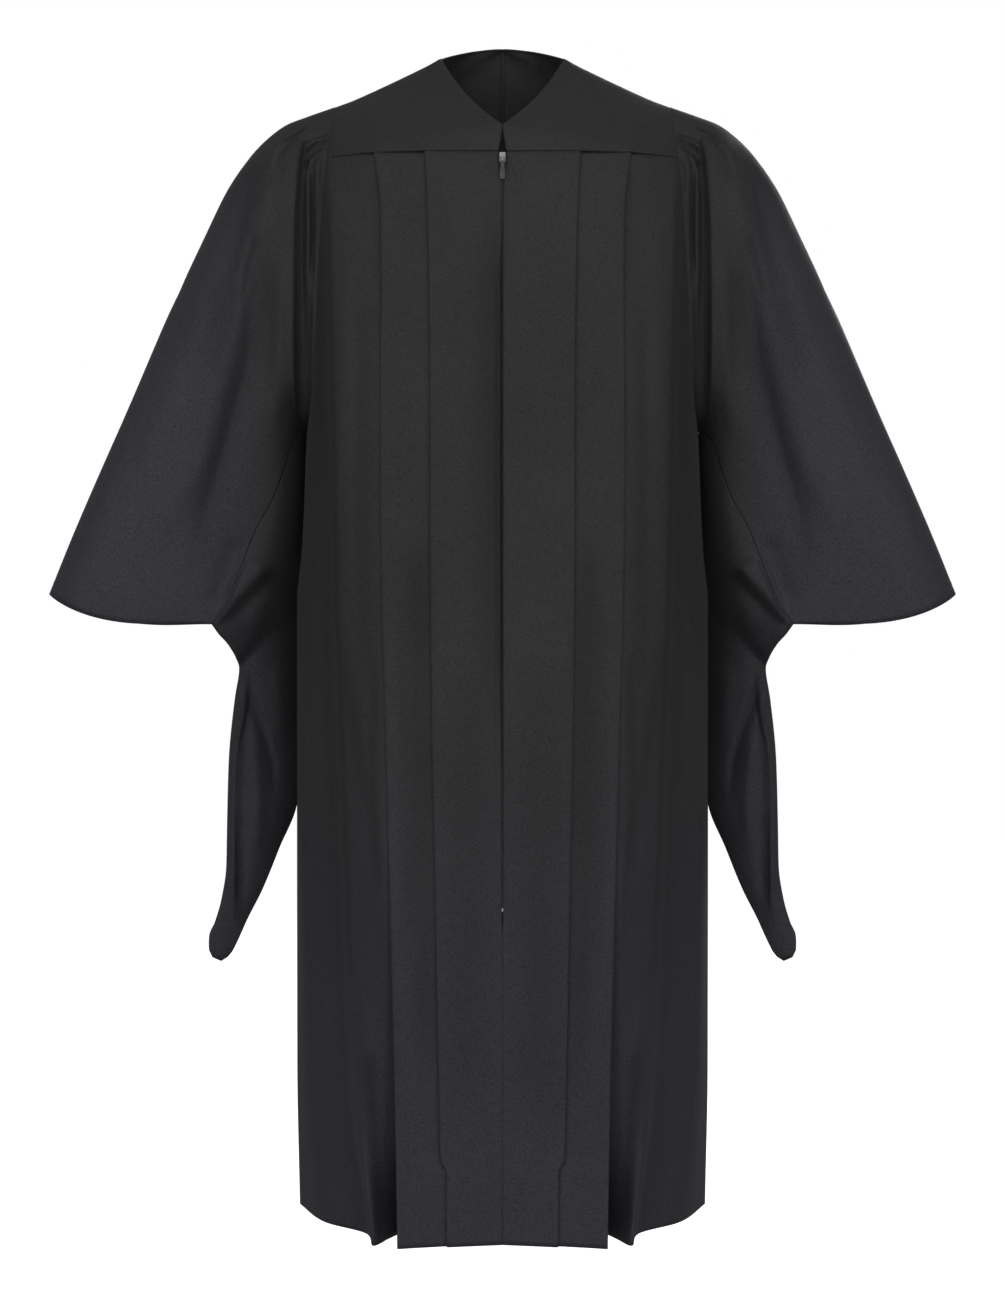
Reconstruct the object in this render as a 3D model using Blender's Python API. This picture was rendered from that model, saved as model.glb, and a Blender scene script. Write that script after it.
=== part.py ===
"""A graduation gown, filled out and held up at the shoulders: two pleated fronts closed by a zip, a
gathered back, a yoke over the shoulders, and bell sleeves with long pointed tails.

The origin is midway between the two points where the shoulders meet the neck. The front faces -Y,
and +X is the wearer's left. The tables are in millimetres: `down` is the distance below the origin,
and `fwd` the distance in front of it. Each is written for the left half, and the right half is its
mirror image.
"""

import math

import bpy
import numpy as np

MM = 0.001
CLOTH = 1.3 * MM  # thickness of every cloth wall
SEAM = 0.3 * MM  # between two pieces that are sewn together
SLEEVE_CLEAR = 1.6 * MM  # from the middle of the body's wall to the middle of the sleeve's, at the armhole
HEM_DOWN = 1372  # shoulder to hem, a 54 inch gown
FRONT_TOP, BACK_TOP = 132.5, 150.5  # where the panels hang from the yoke

# The fronts, one row for a level. cf: how far forward the centre front is. x1, f1 and x2, f2: the edges
# of the two knife pleats. xv, fv: the hollow behind the second one. x3, f3: the soft third fold.
# xh, fh and xf, ff: the flank behind it. open: how far the second pleat has opened, 0 to 1.
FRONT_COLUMNS = "down cf x1 f1 x2 f2 xv fv x3 f3 xh fh xf ff open"
FRONT_LEVELS = [
    (FRONT_TOP, 105, 90.0, 106.5, 149.0, 98.0, 152, 96, 196.0, 72, 200, 69.5, 203, 67.5, 0),
    (165, 113, 88.0, 114.5, 144.5, 107.5, 148, 105, 200.0, 82, 204, 79, 207, 75, 0),
    (200, 120, 86.5, 121.5, 141.0, 115.0, 145, 113, 200.5, 90, 205, 86, 209, 80, 0),
    (300, 134, 83.8, 135.5, 139.3, 129.0, 143, 127, 197.5, 104, 207, 95, 213, 86, 0),
    (400, 143, 82.6, 144.5, 139.4, 139.0, 143, 137, 194.0, 111, 207, 97, 218, 78, 0),
    (446, 147, 82.4, 148.5, 139.4, 143.0, 143, 141, 193.0, 114, 207, 98, 224, 58, 0),
    (520, 152, 82.2, 154.0, 139.0, 149.0, 143, 146, 191.5, 117, 206, 100, 229, 60, 0),
    (650, 161, 81.8, 163.0, 137.0, 158.0, 141, 154, 189.0, 122, 205, 104, 233, 63, 0),
    (800, 171, 79.8, 173.5, 132.0, 170.5, 136, 164, 182.5, 129, 199, 107, 233, 62, 0.05),
    (950, 180, 76.5, 183.0, 127.3, 184.0, 131, 172, 176.5, 138, 193, 111, 231, 62, 0.15),
    (1100, 189, 73.3, 192.5, 122.5, 198.0, 126, 172, 169.0, 149, 185, 117, 229, 63, 0.40),
    (1200, 195, 70.8, 200.0, 119.5, 207.5, 122, 166, 163.5, 163, 178, 123, 226, 66, 0.65),
    (1300, 199.5, 67.0, 207.0, 117.5, 214.5, 119, 156, 154.0, 184, 166, 134, 217, 77, 0.90),
    (HEM_DOWN, 202, 63.0, 212.5, 116.3, 220.0, 116, 146, 143.4, 206, 154, 150, 206, 93, 1.0),
]
PLEAT_DEPTH = 16 * MM  # how far a knife pleat turns back under itself
PLEAT_LAYER = 2.2 * MM  # from the middle of one layer of a pleat to the next

# How far each front's edge stands from the centre line.
FRONT_GAP = [(FRONT_TOP, 4.7), (147, 4.6), (162, 1.3), (1010, 1.3), (1100, 0.6), (HEM_DOWN, 0.6)]

# The outer edges of front and back: the armhole down to the underarm, then the side seam.
EDGE_COLUMNS = "down front_x front_fwd back_x back_aft"
EDGE_LEVELS = [
    (FRONT_TOP, 206.5, 63, 205.0, 80),
    (150, 208.2, 66.5, 205.5, 84),
    (200, 211.5, 73, 209.0, 90),
    (282, 216.6, 78, 214.0, 92),
    (327, 218.4, 76, 217.0, 87),
    (390, 222.8, 60, 222.0, 66),
    (420, 227.5, 38, 227.0, 42),
    (437, 231.5, 18, 231.3, 20),
    (447, 234.5, 0.3, 234.5, 0.3),
    (576, 238.5, 0.3, 238.5, 0.3),
    (650, 246.3, 0.3, 246.3, 0.3),
    (1200, 246.0, 0.3, 246.0, 0.3),
    (HEM_DOWN, 242.7, 0.3, 242.7, 0.3),
]
UNDERARM = 447

# The back: how far aft the centre is, and how tall its gathers and its flutes stand.
BACK_COLUMNS = "down aft gathers flutes"
BACK_LEVELS = [
    (BACK_TOP, 135, 0.5, 0.0),
    (168, 139, 3.2, 0.0),
    (200, 144, 3.6, 1.0),
    (260, 149, 3.0, 2.0),
    (340, 151, 1.5, 3.0),
    (430, 150, 0.0, 4.5),
    (650, 152, 0.0, 8.0),
    (950, 162, 0.0, 12.0),
    (1200, 170, 0.0, 15.0),
    (HEM_DOWN, 175, 0.0, 17.0),
]
BACK_ROUNDNESS = 2.4  # exponent of the rounded outline seen from above
BACK_GATHERS = 14
GATHERED_SHARE = 0.8  # of the back's width at the yoke
# The flutes: where each stands across the back, its share of the height, and its width.
BACK_FLUTES = [
    (-0.80, 0.6, 0.075),
    (-0.55, 1.0, 0.085),
    (-0.27, 0.7, 0.090),
    (0.02, 0.9, 0.095),
    (0.29, 0.75, 0.085),
    (0.56, 1.0, 0.090),
    (0.79, 0.55, 0.075),
]

# The yoke's inner edge, from the bottom of the centre front up the neck and down the centre back, and
# its outer edge along the armhole. `turn` runs from 0 at the front seam to 1 at the back seam.
YOKE_COLUMNS = "turn x fwd up"
YOKE_INNER = [
    (0.00, 4.7, 105, -131.7),
    (0.10, 0.6, 97, -99.7),
    (0.12, 4.2, 93.5, -96.0),
    (0.20, 20.4, 78, -80.3),
    (0.28, 36.5, 58, -61.7),
    (0.36, 55.1, 33, -35.3),
    (0.42, 66.2, 12, -14.9),
    (0.46, 74.0, -4, 0.5),
    (0.52, 71.5, -24, 6.5),
    (0.60, 54.5, -58, 19.5),
    (0.68, 28.0, -81, 29.7),
    (0.75, 0.6, -91, 34.0),
    (0.84, 0.6, -108, -18.0),
    (0.92, 0.6, -123, -80.0),
    (1.00, 0.6, -135, -149.6),
]
YOKE_OUTER = [
    (0.00, 206.5, 63, -131.7),
    (0.15, 204.5, 52, -108.0),
    (0.30, 201.0, 30, -76.0),
    (0.46, 199.0, 0, -58.7),
    (0.62, 200.0, -32, -72.0),
    (0.80, 202.5, -62, -103.0),
    (1.00, 205.5, -84, -149.6),
]
SHOULDER_TURN = 0.46

# The sleeve from the armhole (0) to the wrist (1). xt, dt: the line over the top of the arm. xs, ds: the
# seam below, which the tail hangs from. wide: half the tube's width. base: half of it at the seam.
SLEEVE_COLUMNS = "along xt dt xs ds wide base"
SLEEVE_SECTIONS = [
    (0.00, 200.0, 58.7, 237.5, 447, 75, 1),
    (0.05, 233.1, 70.7, 243.0, 450, 79, 9),
    (0.10, 257.1, 80.3, 248.5, 458, 81, 17),
    (0.15, 279.9, 97.1, 252.0, 469, 81, 23),
    (0.20, 302.7, 121.1, 255.0, 480, 80, 27),
    (0.27, 325.0, 153.0, 258.5, 492, 79, 31),
    (0.36, 356.6, 216.9, 264.0, 508, 77, 35),
    (0.50, 398.5, 306.0, 275.0, 534, 74, 39),
    (0.65, 443.0, 408.0, 291.5, 565, 71, 43),
    (0.80, 487.0, 508.0, 309.0, 610, 68, 46),
    (0.90, 516.0, 575.0, 326.0, 651, 66, 48),
    (1.00, 542.4, 640.0, 343.4, 678, 64, 50),
]
ARM_SHARE = 0.3  # of each section, rounded over the arm
WRIST_SAG = 99 * MM  # the wrist edge dips below a straight line
HEAD_CROWDING = 0.22  # how closely the head's gathers crowd towards the shoulder

# The gathers of the sleeve head hang round the yoke's lower corner and down beside the armhole.
GATHER_PITCH = 11 * MM
GATHER_HEIGHT = 2.2 * MM
GATHER_REACH = (52 * MM, 74 * MM)  # from the armhole, full height and none
GATHER_DROP = (210 * MM, 430 * MM)  # below the shoulders, full height and none
GATHER_CORNER = 165  # the level that they hang from

# The larger folds of a sleeve, seen from the front: points x, down; then height (+ outwards) and width.
SLEEVE_FOLDS = [
    ([(233, 82), (236, 125), (240, 225), (243.5, 345), (246, 440)], -3.5, 6),
    ([(256, 235), (257.5, 272), (264, 375), (277, 478)], 4.0, 9),
    ([(277, 205), (280, 242), (298, 375), (345, 546), (364, 650)], -4.5, 12),
    ([(287, 221), (305, 306)], -1.5, 6),
    ([(300, 165), (305, 180), (331, 341), (345, 410)], -3.5, 13),
    ([(311, 290), (352, 475), (411, 603)], 5.0, 18),
    ([(360, 260), (430, 460), (470, 610)], -2.0, 20),
]

# The tail: its outer and inner edges in pairs down to the tip. gap: half the opening at the outer edge.
# belly: how far the pouch swells half way across.
TAIL_COLUMNS = "along xl dl fl xr dr fr gap belly"
TAIL_SECTIONS = [
    (0.00, 343.4, 679.2, 0, 240.0, 454.0, 0, 50.0, 0),
    (0.08, 335.7, 690.0, 0, 242.5, 500.0, -10, 44.0, 6),
    (0.16, 326.3, 701.3, -2, 243.5, 555.0, -24, 34.0, 14),
    (0.24, 318.1, 718.0, -4, 243.5, 612.0, -38, 18.0, 20),
    (0.30, 315.8, 731.0, -5, 243.0, 660.0, -46, 0.85, 22),
    (0.42, 321.5, 768.3, -8, 242.5, 730.0, -50, 0.85, 22),
    (0.55, 329.0, 840.3, -12, 243.0, 812.0, -50, 0.85, 20),
    (0.66, 331.4, 915.0, -15, 250.0, 893.0, -46, 0.85, 17),
    (0.76, 332.6, 968.0, -17, 271.0, 948.0, -38, 0.85, 13),
    (0.86, 338.6, 1008.1, -19, 291.0, 998.0, -30, 0.85, 9),
    (0.94, 347.0, 1037.0, -20, 309.0, 1034.0, -26, 0.85, 5),
    (1.00, 353.0, 1056.0, -21, 333.0, 1079.0, -24, 0.85, 1.2),
]

# The zip.
TAPE_HALF_WIDTH = 15 * MM
TAPE_THICK = 1.0 * MM
TAPE_TOP, TAPE_BOTTOM = 134, 1008
SLIDER_HALF_WIDTH = 3.7 * MM
SLIDER_LENGTH = 12 * MM
SLIDER_THICK = 4.6 * MM
SLIDER_TOP = 134.5
BRIDGE_HALF_WIDTH = 0.8 * MM
BRIDGE_HALF_LENGTH = 4.4 * MM
BRIDGE_BAR = 0.9 * MM
BRIDGE_CLEAR = 2.4 * MM  # from the slider's face to the inside of the bridge
PULL_LENGTH = 26 * MM  # from its hinge axis to its tip
PULL_THICK = 1.2 * MM
PULL_HALF_WIDTHS = [(-0.8, 2.3), (3.0, 2.6), (5.5, 2.9), (8, 2.0), (22, 3.2), (25, 2.7), (26, 1.6)]
PULL_WINDOW = (1.3 * MM, 0.8 * MM, 4.8 * MM)  # half width, and its ends below the axis
PULL_TILT = math.radians(7)  # it rests on the chest, which slopes forward
STOP_SIZE = (1.9 * MM, 2.3 * MM, 5 * MM)
STOP_DOWN = 1000
WIRE = 0.9 * MM
# The wires' routes: x, forward, down, in millimetres.
EYE_SPOTS = [
    (9.0, 95.9, 104.0),
    (5.0, 95.7, 104.3),
    (1.2, 95.5, 105.0),
    (-0.6, 95.5, 107.0),
    (1.2, 95.5, 109.0),
    (5.0, 95.9, 109.7),
    (9.0, 96.3, 110.0),
]
HOOK_SPOTS = [
    (-9.0, 96.3, 105.0),
    (-5.0, 96.0, 105.6),
    (-2.4, 94.2, 106.4),
    (0.8, 93.8, 107.0),
    (1.4, 94.5, 107.0),
]

CLOTH_COLOUR = (0.024, 0.022, 0.024, 1)
TAPE_COLOUR = (0.010, 0.010, 0.011, 1)
STEEL_COLOUR = (0.62, 0.62, 0.60, 1)
WIRE_COLOUR = (0.03, 0.03, 0.03, 1)


def table(columns, rows):
    """The rows as one array a column, in metres but for the shares and the exponent."""
    plain = {"open", "along", "turn"}
    values = np.array(rows, float).T
    return {
        name: value if name in plain else value * MM
        for name, value in zip(columns.split(), values)
    }


def through(knots, values, at):
    """A smooth curve through points: a cubic between each two, level where the points turn back."""
    step = np.diff(knots)
    slope = np.diff(values) / step
    product = slope[:-1] * slope[1:]
    total = np.where(product > 0, slope[:-1] + slope[1:], 1)
    inner = np.where(product > 0, 2 * product / total, 0)
    tangent = np.concatenate([slope[:1], inner, slope[-1:]])
    at = np.clip(np.asarray(at, float), knots[0], knots[-1])
    i = np.clip(np.searchsorted(knots, at, side="right") - 1, 0, len(step) - 1)
    t = (at - knots[i]) / step[i]
    start, end = values[i], values[i + 1]
    rise = (end - start) * (3 * t**2 - 2 * t**3)
    bend = step[i] * (tangent[i] * t * (1 - t) ** 2 - tangent[i + 1] * t**2 * (1 - t))
    return start + rise + bend


def at_level(columns, rows, level):
    """Every column of a table read at one value of its first column."""
    data = table(columns, rows)
    names = columns.split()
    knots = data[names[0]]
    return {name: float(through(knots, data[name], level)) for name in names[1:]}


def smooth_step(value, start, end):
    """0 before start, 1 after end, and a smooth rise between."""
    t = np.clip((value - start) / (end - start), 0, 1)
    return t * t * (3 - 2 * t)


def bent(points, samples):
    """A Catmull-Rom curve through points, with that many steps between each two."""
    points = np.asarray(points, float)
    ends = np.vstack([2 * points[0] - points[1], points, 2 * points[-1] - points[-2]])
    found = []
    for i, count in enumerate(samples):
        a, b, c, d = ends[i : i + 4]
        t = np.arange(count)[:, None] / count
        found.append(
            b
            + (c - a) * t / 2
            + (2 * a - 5 * b + 4 * c - d) * t**2 / 2
            + (3 * b - a - 3 * c + d) * t**3 / 2
        )
    return np.vstack(found + [points[-1:]])


def bridge(first, first_at, second, second_at):
    """Triangles between two rows of points, which may differ in number."""
    faces = []
    i = j = 0
    while i < len(first_at) - 1 or j < len(second_at) - 1:
        done_first, done_second = i == len(first_at) - 1, j == len(second_at) - 1
        if done_second or (not done_first and first_at[i + 1] <= second_at[j + 1]):
            faces.append((first + i, second + j, first + i + 1))
            i += 1
        else:
            faces.append((first + i, second + j, second + j + 1))
            j += 1
    return faces


def sheet(rows, places):
    """Points and triangles of a sheet, from its rows and each row's places across."""
    starts = np.concatenate([[0], np.cumsum([len(row) for row in rows])])
    faces = []
    for k in range(len(rows) - 1):
        faces += bridge(int(starts[k]), places[k], int(starts[k + 1]), places[k + 1])
    return np.vstack(rows), np.array(faces)


def wall(points, faces, thick):
    """A closed wall: the sheet moved half a thickness each way along its normals, and its border closed."""
    corners = points[faces]
    normal = np.cross(corners[:, 1] - corners[:, 0], corners[:, 2] - corners[:, 0])
    normals = np.zeros_like(points)
    for k in range(3):
        np.add.at(normals, faces[:, k], normal)
    normals /= np.linalg.norm(normals, axis=1)[:, None]
    count = len(points)
    both = np.vstack([points + normals * thick / 2, points - normals * thick / 2])
    edges = np.vstack([faces[:, [0, 1]], faces[:, [1, 2]], faces[:, [2, 0]]])
    _, index, uses = np.unique(
        np.sort(edges, axis=1), axis=0, return_inverse=True, return_counts=True
    )
    border = edges[uses[index.reshape(-1)] == 1]
    a, b = border[:, 0], border[:, 1]
    rim = np.vstack(
        [np.column_stack([b, a, a + count]), np.column_stack([b, a + count, b + count])]
    )
    return both, np.vstack([faces, faces[:, ::-1] + count, rim])


def material(name, colour, roughness, metallic=0.0):
    made = bpy.data.materials.get(name)
    if made:
        return made
    made = bpy.data.materials.new(name)
    made.use_nodes = True
    shader = made.node_tree.nodes["Principled BSDF"]
    shader.inputs["Base Color"].default_value = colour
    shader.inputs["Roughness"].default_value = roughness
    shader.inputs["Metallic"].default_value = metallic
    return made


def solid(name, points, faces, finish):
    """An object from points and triangles, turned outwards by its volume."""
    corners = points[faces]
    volume = np.einsum("ij,ij->", corners[:, 0], np.cross(corners[:, 1], corners[:, 2]))
    if volume < 0:
        faces = faces[:, ::-1]
    mesh = bpy.data.meshes.new(name)
    mesh.from_pydata(points.tolist(), [], faces.tolist())
    mesh.shade_smooth()
    mesh.set_sharp_from_angle(angle=math.radians(40))
    made = bpy.data.objects.new(name, mesh)
    made.data.materials.append(finish)
    bpy.context.scene.collection.objects.link(made)
    return made


def cloth_piece(name, rows, places, side):
    """A sewn piece for one side of the gown: side is 1 for the wearer's left and -1 for the right."""
    points, faces = sheet(rows, places)
    points = points * np.array([side, 1, 1])
    closed, skin = wall(points, faces, CLOTH)
    finish = material(name + "_cloth", CLOTH_COLOUR, 0.85)
    return solid(name, closed, skin, finish)


def knife_pleat(edge, forward):
    """The seven points of a flat pleat that turns back under its edge, and back again."""
    inward = np.array([-forward[1], forward[0]])
    if inward[1] < 0:
        inward = -inward
    back, layer = PLEAT_DEPTH, PLEAT_LAYER
    places = [
        (-0.5 * layer, 0),
        (0, 0.5 * layer),
        (-0.5 * layer, layer),
        (-back + 0.5 * layer, layer),
        (-back, 1.5 * layer),
        (-back + 0.5 * layer, 2 * layer),
        (0.2 * back, 2 * layer),
    ]
    return np.array([edge + along * forward + depth * inward for along, depth in places])


def open_pleat(edge, hollow, ridge):
    """The same seven points where the pleat has opened into a deep hollow."""
    middle = (edge + hollow) / 2
    return np.array(
        [
            edge + np.array([-0.8 * MM, 0]),
            edge + np.array([0, 0.8 * MM]),
            edge + np.array([-0.2 * MM, 3.0 * MM]),
            middle,
            hollow,
            hollow + (ridge - hollow) * 0.22,
            hollow + (ridge - hollow) * 0.50,
        ]
    )


def front_section(level):
    """The front's outline at one level, from the centre to the armhole or side seam, as x and y."""
    at = at_level(FRONT_COLUMNS, FRONT_LEVELS, level)
    edge = at_level(EDGE_COLUMNS, EDGE_LEVELS, level)
    gaps = np.array(FRONT_GAP) * MM
    gap = float(np.interp(level, gaps[:, 0], gaps[:, 1]))

    def spot(x, forward):
        return np.array([at[x], -at[forward]])

    centre = np.array([gap, -at["cf"]])
    first, second = spot("x1", "f1"), spot("x2", "f2")
    hollow, third = spot("xv", "fv"), spot("x3", "f3")
    heading = (first - centre) / np.linalg.norm(first - centre)
    shares = np.array([0, 0.25, 0.55, 0.8])[:, None]
    panel_one = centre + (first - centre) * shares
    pleat_one = knife_pleat(first, heading)
    heading = (second - pleat_one[-1]) / np.linalg.norm(second - pleat_one[-1])
    panel_two = pleat_one[-1] + (second - pleat_one[-1]) * np.array([0.3, 0.65])[:, None]
    flat = knife_pleat(second, heading)
    opened = open_pleat(second, hollow, third)
    pleat_two = flat + (opened - flat) * at["open"]
    flank = [pleat_two[-1], third, spot("xh", "fh"), spot("xf", "ff")]
    flank.append(np.array([edge["front_x"], -edge["front_fwd"]]))
    rest = bent(flank, [3, 2, 2, 2])[1:]
    return np.vstack([panel_one, pleat_one, panel_two, pleat_two, rest])


FRONT_ROWS = [
    *(FRONT_TOP, 147, 165, 200, 260, 330, 390, 422, 447, 520, 600, 720),
    *(860, 1000, 1110, 1160, 1210, 1255, 1300, HEM_DOWN),
]


def front(name, side):
    rows = []
    for down in FRONT_ROWS:
        outline = front_section(down * MM)
        rows.append(np.column_stack([outline, np.full(len(outline), -down * MM)]))
    places = [np.arange(len(row)) for row in rows]
    return cloth_piece(name, rows, places, side)


def back_outline(across, level):
    """The back's outline at one level, across from -1 to 1, with its gathers and flutes."""
    at = at_level(BACK_COLUMNS, BACK_LEVELS, level)
    edge = at_level(EDGE_COLUMNS, EDGE_LEVELS, level)
    angle = (1 - np.abs(across)) * math.pi / 2
    reach = np.cos(angle) ** (2 / BACK_ROUNDNESS)
    depth = np.sin(angle) ** (2 / BACK_ROUNDNESS)
    x = np.sign(across) * edge["back_x"] * reach
    y = edge["back_aft"] + (at["aft"] - edge["back_aft"]) * depth
    inside = 1 - smooth_step(np.abs(across), GATHERED_SHARE * 0.9, GATHERED_SHARE)
    wave = np.sin(across / GATHERED_SHARE * BACK_GATHERS * math.pi)
    stand = at["gathers"] * wave * inside
    for centre, share, width in BACK_FLUTES:
        stand = stand + at["flutes"] * (
            share * np.exp(-(((across - centre) / width) ** 2)) - 0.25 * share
        ) * (1 - np.abs(across) ** 6)
    lean = np.sign(across) * (1 - depth)
    return np.column_stack([x + stand * lean, y + stand * depth])


BACK_ROWS = [
    *(BACK_TOP, 160, 175, 205, 250, 310, 380, 422),
    *(447, 520, 620, 780, 960, 1150, 1290, HEM_DOWN),
]
BACK_CHANGE = 400  # below this level the back has fewer columns


def back():
    rows, places = [], []
    gathered = np.linspace(-GATHERED_SHARE, GATHERED_SHARE, 3 * BACK_GATHERS + 1)
    sides = np.array([0.85, 0.90, 0.95, 0.98, 1.0])
    fine = np.concatenate([-sides[::-1], gathered, sides])
    coarse = np.concatenate([-sides[::-1], np.linspace(-0.8, 0.8, 29), sides])
    for down in BACK_ROWS:
        across = fine if down < BACK_CHANGE else coarse
        outline = back_outline(across, down * MM)
        rows.append(np.column_stack([outline, np.full(len(outline), -down * MM)]))
        places.append(across)
    return cloth_piece("back", rows, places, 1)


def seam_bulge(shares, start, end, outline):
    """How far a yoke seam's outline stands from the straight line between its ends, at these shares."""
    x = start[0] + (end[0] - start[0]) * shares
    straight = start[1] + (end[1] - start[1]) * shares
    order = np.argsort(outline[:, 0])
    return np.interp(x, outline[order, 0], outline[order, 1]) - straight


def rail(rows, turn):
    data = table(YOKE_COLUMNS, rows)
    return np.array(
        [
            through(data["turn"], data["x"], turn),
            -through(data["turn"], data["fwd"], turn),
            through(data["turn"], data["up"], turn),
        ]
    )


def front_seam_outline():
    """The top of the front without its pleats."""
    at = at_level(FRONT_COLUMNS, FRONT_LEVELS, FRONT_TOP * MM)
    edge = at_level(EDGE_COLUMNS, EDGE_LEVELS, FRONT_TOP * MM)
    spots = [(0, at["cf"]), (at["x1"], at["f1"]), (at["x2"], at["f2"]), (at["x3"], at["f3"])]
    spots.append((edge["front_x"], edge["front_fwd"]))
    return np.array(spots) * np.array([1, -1])


YOKE_TURNS = [
    *(0, 0.05, 0.10, 0.12, 0.16, 0.20, 0.24, 0.28, 0.32, 0.36, 0.41),
    *(0.46, 0.49, 0.52, 0.56, 0.60, 0.64, 0.68, 0.75, 0.82, 0.91, 1.0),
]
YOKE_SHARES = np.array([0, 0.12, 0.25, 0.40, 0.55, 0.70, 0.82, 0.92, 1.0])


def yoke(name, side):
    front_line = front_seam_outline()
    back_line = back_outline(np.linspace(0, 1, 40), BACK_TOP * MM)
    front_ends = rail(YOKE_INNER, 0.0), rail(YOKE_OUTER, 0.0)
    back_ends = rail(YOKE_INNER, 1.0), rail(YOKE_OUTER, 1.0)
    front_bulge = seam_bulge(YOKE_SHARES, *front_ends, front_line)
    back_bulge = seam_bulge(YOKE_SHARES, *back_ends, back_line)
    rows = []
    for turn in YOKE_TURNS:
        inner, outer = rail(YOKE_INNER, turn), rail(YOKE_OUTER, turn)
        row = inner + (outer - inner) * YOKE_SHARES[:, None]
        in_front = max(0, 1 - turn / SHOULDER_TURN) ** 1.4
        behind = max(0, (turn - SHOULDER_TURN) / (1 - SHOULDER_TURN)) ** 1.4
        row[:, 1] += front_bulge * in_front + back_bulge * behind
        rows.append(row)
    return cloth_piece(name, rows, [YOKE_SHARES] * len(rows), side)


def armhole(around):
    """The armhole from the underarm (-1) up the front to the shoulder (0) and down the back (1)."""
    edge = table(EDGE_COLUMNS, EDGE_LEVELS)
    sides = []
    for name, yoke_turns in (("front", (0, SHOULDER_TURN)), ("back", (1, SHOULDER_TURN))):
        corner = FRONT_TOP if name == "front" else BACK_TOP
        levels = np.linspace(UNDERARM, corner, 30) * MM
        forward = edge["front_fwd"] if name == "front" else -edge["back_aft"]
        lower = np.column_stack(
            [
                through(edge["down"], edge[name + "_x"], levels),
                -through(edge["down"], forward, levels),
                -levels,
            ]
        )
        upper = np.array([rail(YOKE_OUTER, t) for t in np.linspace(*yoke_turns, 12)])
        line = np.vstack([lower, upper])
        length = np.concatenate([[0], np.cumsum(np.linalg.norm(np.diff(line, axis=0), axis=1))])
        sides.append((line, 1 - length / length[-1]))
    found = np.empty((len(around), 3))
    for (line, share), chosen in zip(sides, (around <= 0, around > 0)):
        for axis in range(3):
            order = np.argsort(share)
            found[chosen, axis] = np.interp(np.abs(around[chosen]), share[order], line[order, axis])
    return found + np.array([SLEEVE_CLEAR, 0, 0])


def sleeve_section(around, along):
    """The sleeve without folds: round over the arm, then two sheets that hang down to the seam."""
    data = table(SLEEVE_COLUMNS, SLEEVE_SECTIONS)
    at = {name: through(data["along"], data[name], along) for name in data if name != "along"}
    fall = np.abs(around)
    round_part = np.sqrt(1 - (1 - np.clip(fall / ARM_SHARE, 0, 1)) ** 2)
    straight = np.clip((fall - ARM_SHARE) / (1 - ARM_SHARE), 0, 1)
    half = at["wide"] * round_part + (at["base"] - at["wide"]) * straight**1.3
    sag = WRIST_SAG * fall * (1 - fall) ** 1.5 * along**6
    x = at["xt"] + (at["xs"] - at["xt"]) * fall
    z = -(at["dt"] + (at["ds"] - at["dt"]) * fall) - sag
    return np.stack([x, np.sign(around) * half, z], axis=-1)


def head_place(across):
    """Where a lengthwise thread meets the armhole: crowded towards the shoulder."""
    return HEAD_CROWDING * across + (1 - HEAD_CROWDING) * np.sign(across) * np.abs(across) ** 12


def sleeve_form(across, along):
    """The sleeve's smooth form. across runs from the front seam (-1) over the arm (0) to the back (1)."""
    across, along = np.broadcast_arrays(across, along)
    opened = smooth_step(along, 0, 0.55)
    around = head_place(across) * (1 - opened) + across * opened
    form = sleeve_section(around, along)
    at_armhole = armhole(around.reshape(-1)).reshape(form.shape)
    start = sleeve_section(around, np.zeros_like(along))
    return form + (at_armhole - start) * ((1 - along) ** 9)[..., None]


def distance_to(line, points):
    """The distance from points to a line of straight runs, and the share along it of the nearest spot."""
    best = np.full(points.shape[:-1], 1e9)
    share = np.zeros(points.shape[:-1])
    lengths = np.linalg.norm(np.diff(line, axis=0), axis=1)
    before = np.concatenate([[0], np.cumsum(lengths)])
    for k in range(len(line) - 1):
        run = line[k + 1] - line[k]
        t = np.clip(((points - line[k]) @ run) / (run @ run), 0, 1)
        away = np.linalg.norm(points - line[k] - t[..., None] * run, axis=-1)
        nearer = away < best
        best = np.where(nearer, away, best)
        share = np.where(nearer, (before[k] + t * lengths[k]) / before[-1], share)
    return best, share


def sleeve_relief(form):
    """How far the cloth stands out in gathers and folds, at points of the smooth form."""
    seen = np.stack([form[..., 0], -form[..., 2]], axis=-1)
    levels = np.linspace(GATHER_CORNER * MM, UNDERARM * MM, 12)
    edge = table(EDGE_COLUMNS, EDGE_LEVELS)
    line = np.column_stack([through(edge["down"], edge["front_x"], levels), levels])
    away, _ = distance_to(line, seen)
    strength = smooth_step(away, 0, 6 * MM) * (1 - smooth_step(away, *GATHER_REACH))
    strength = strength * (1 - smooth_step(seen[..., 1], *GATHER_DROP))
    relief = GATHER_HEIGHT * np.cos(away / GATHER_PITCH * 2 * math.pi - 2.0) * strength
    for points, height, width in SLEEVE_FOLDS:
        away, share = distance_to(np.array(points) * MM, seen)
        fade = smooth_step(share, 0, 0.25) * (1 - smooth_step(share, 0.75, 1.0))
        relief = relief + height * MM * np.exp(-((away / (width * MM)) ** 2)) * fade
    return relief


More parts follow.
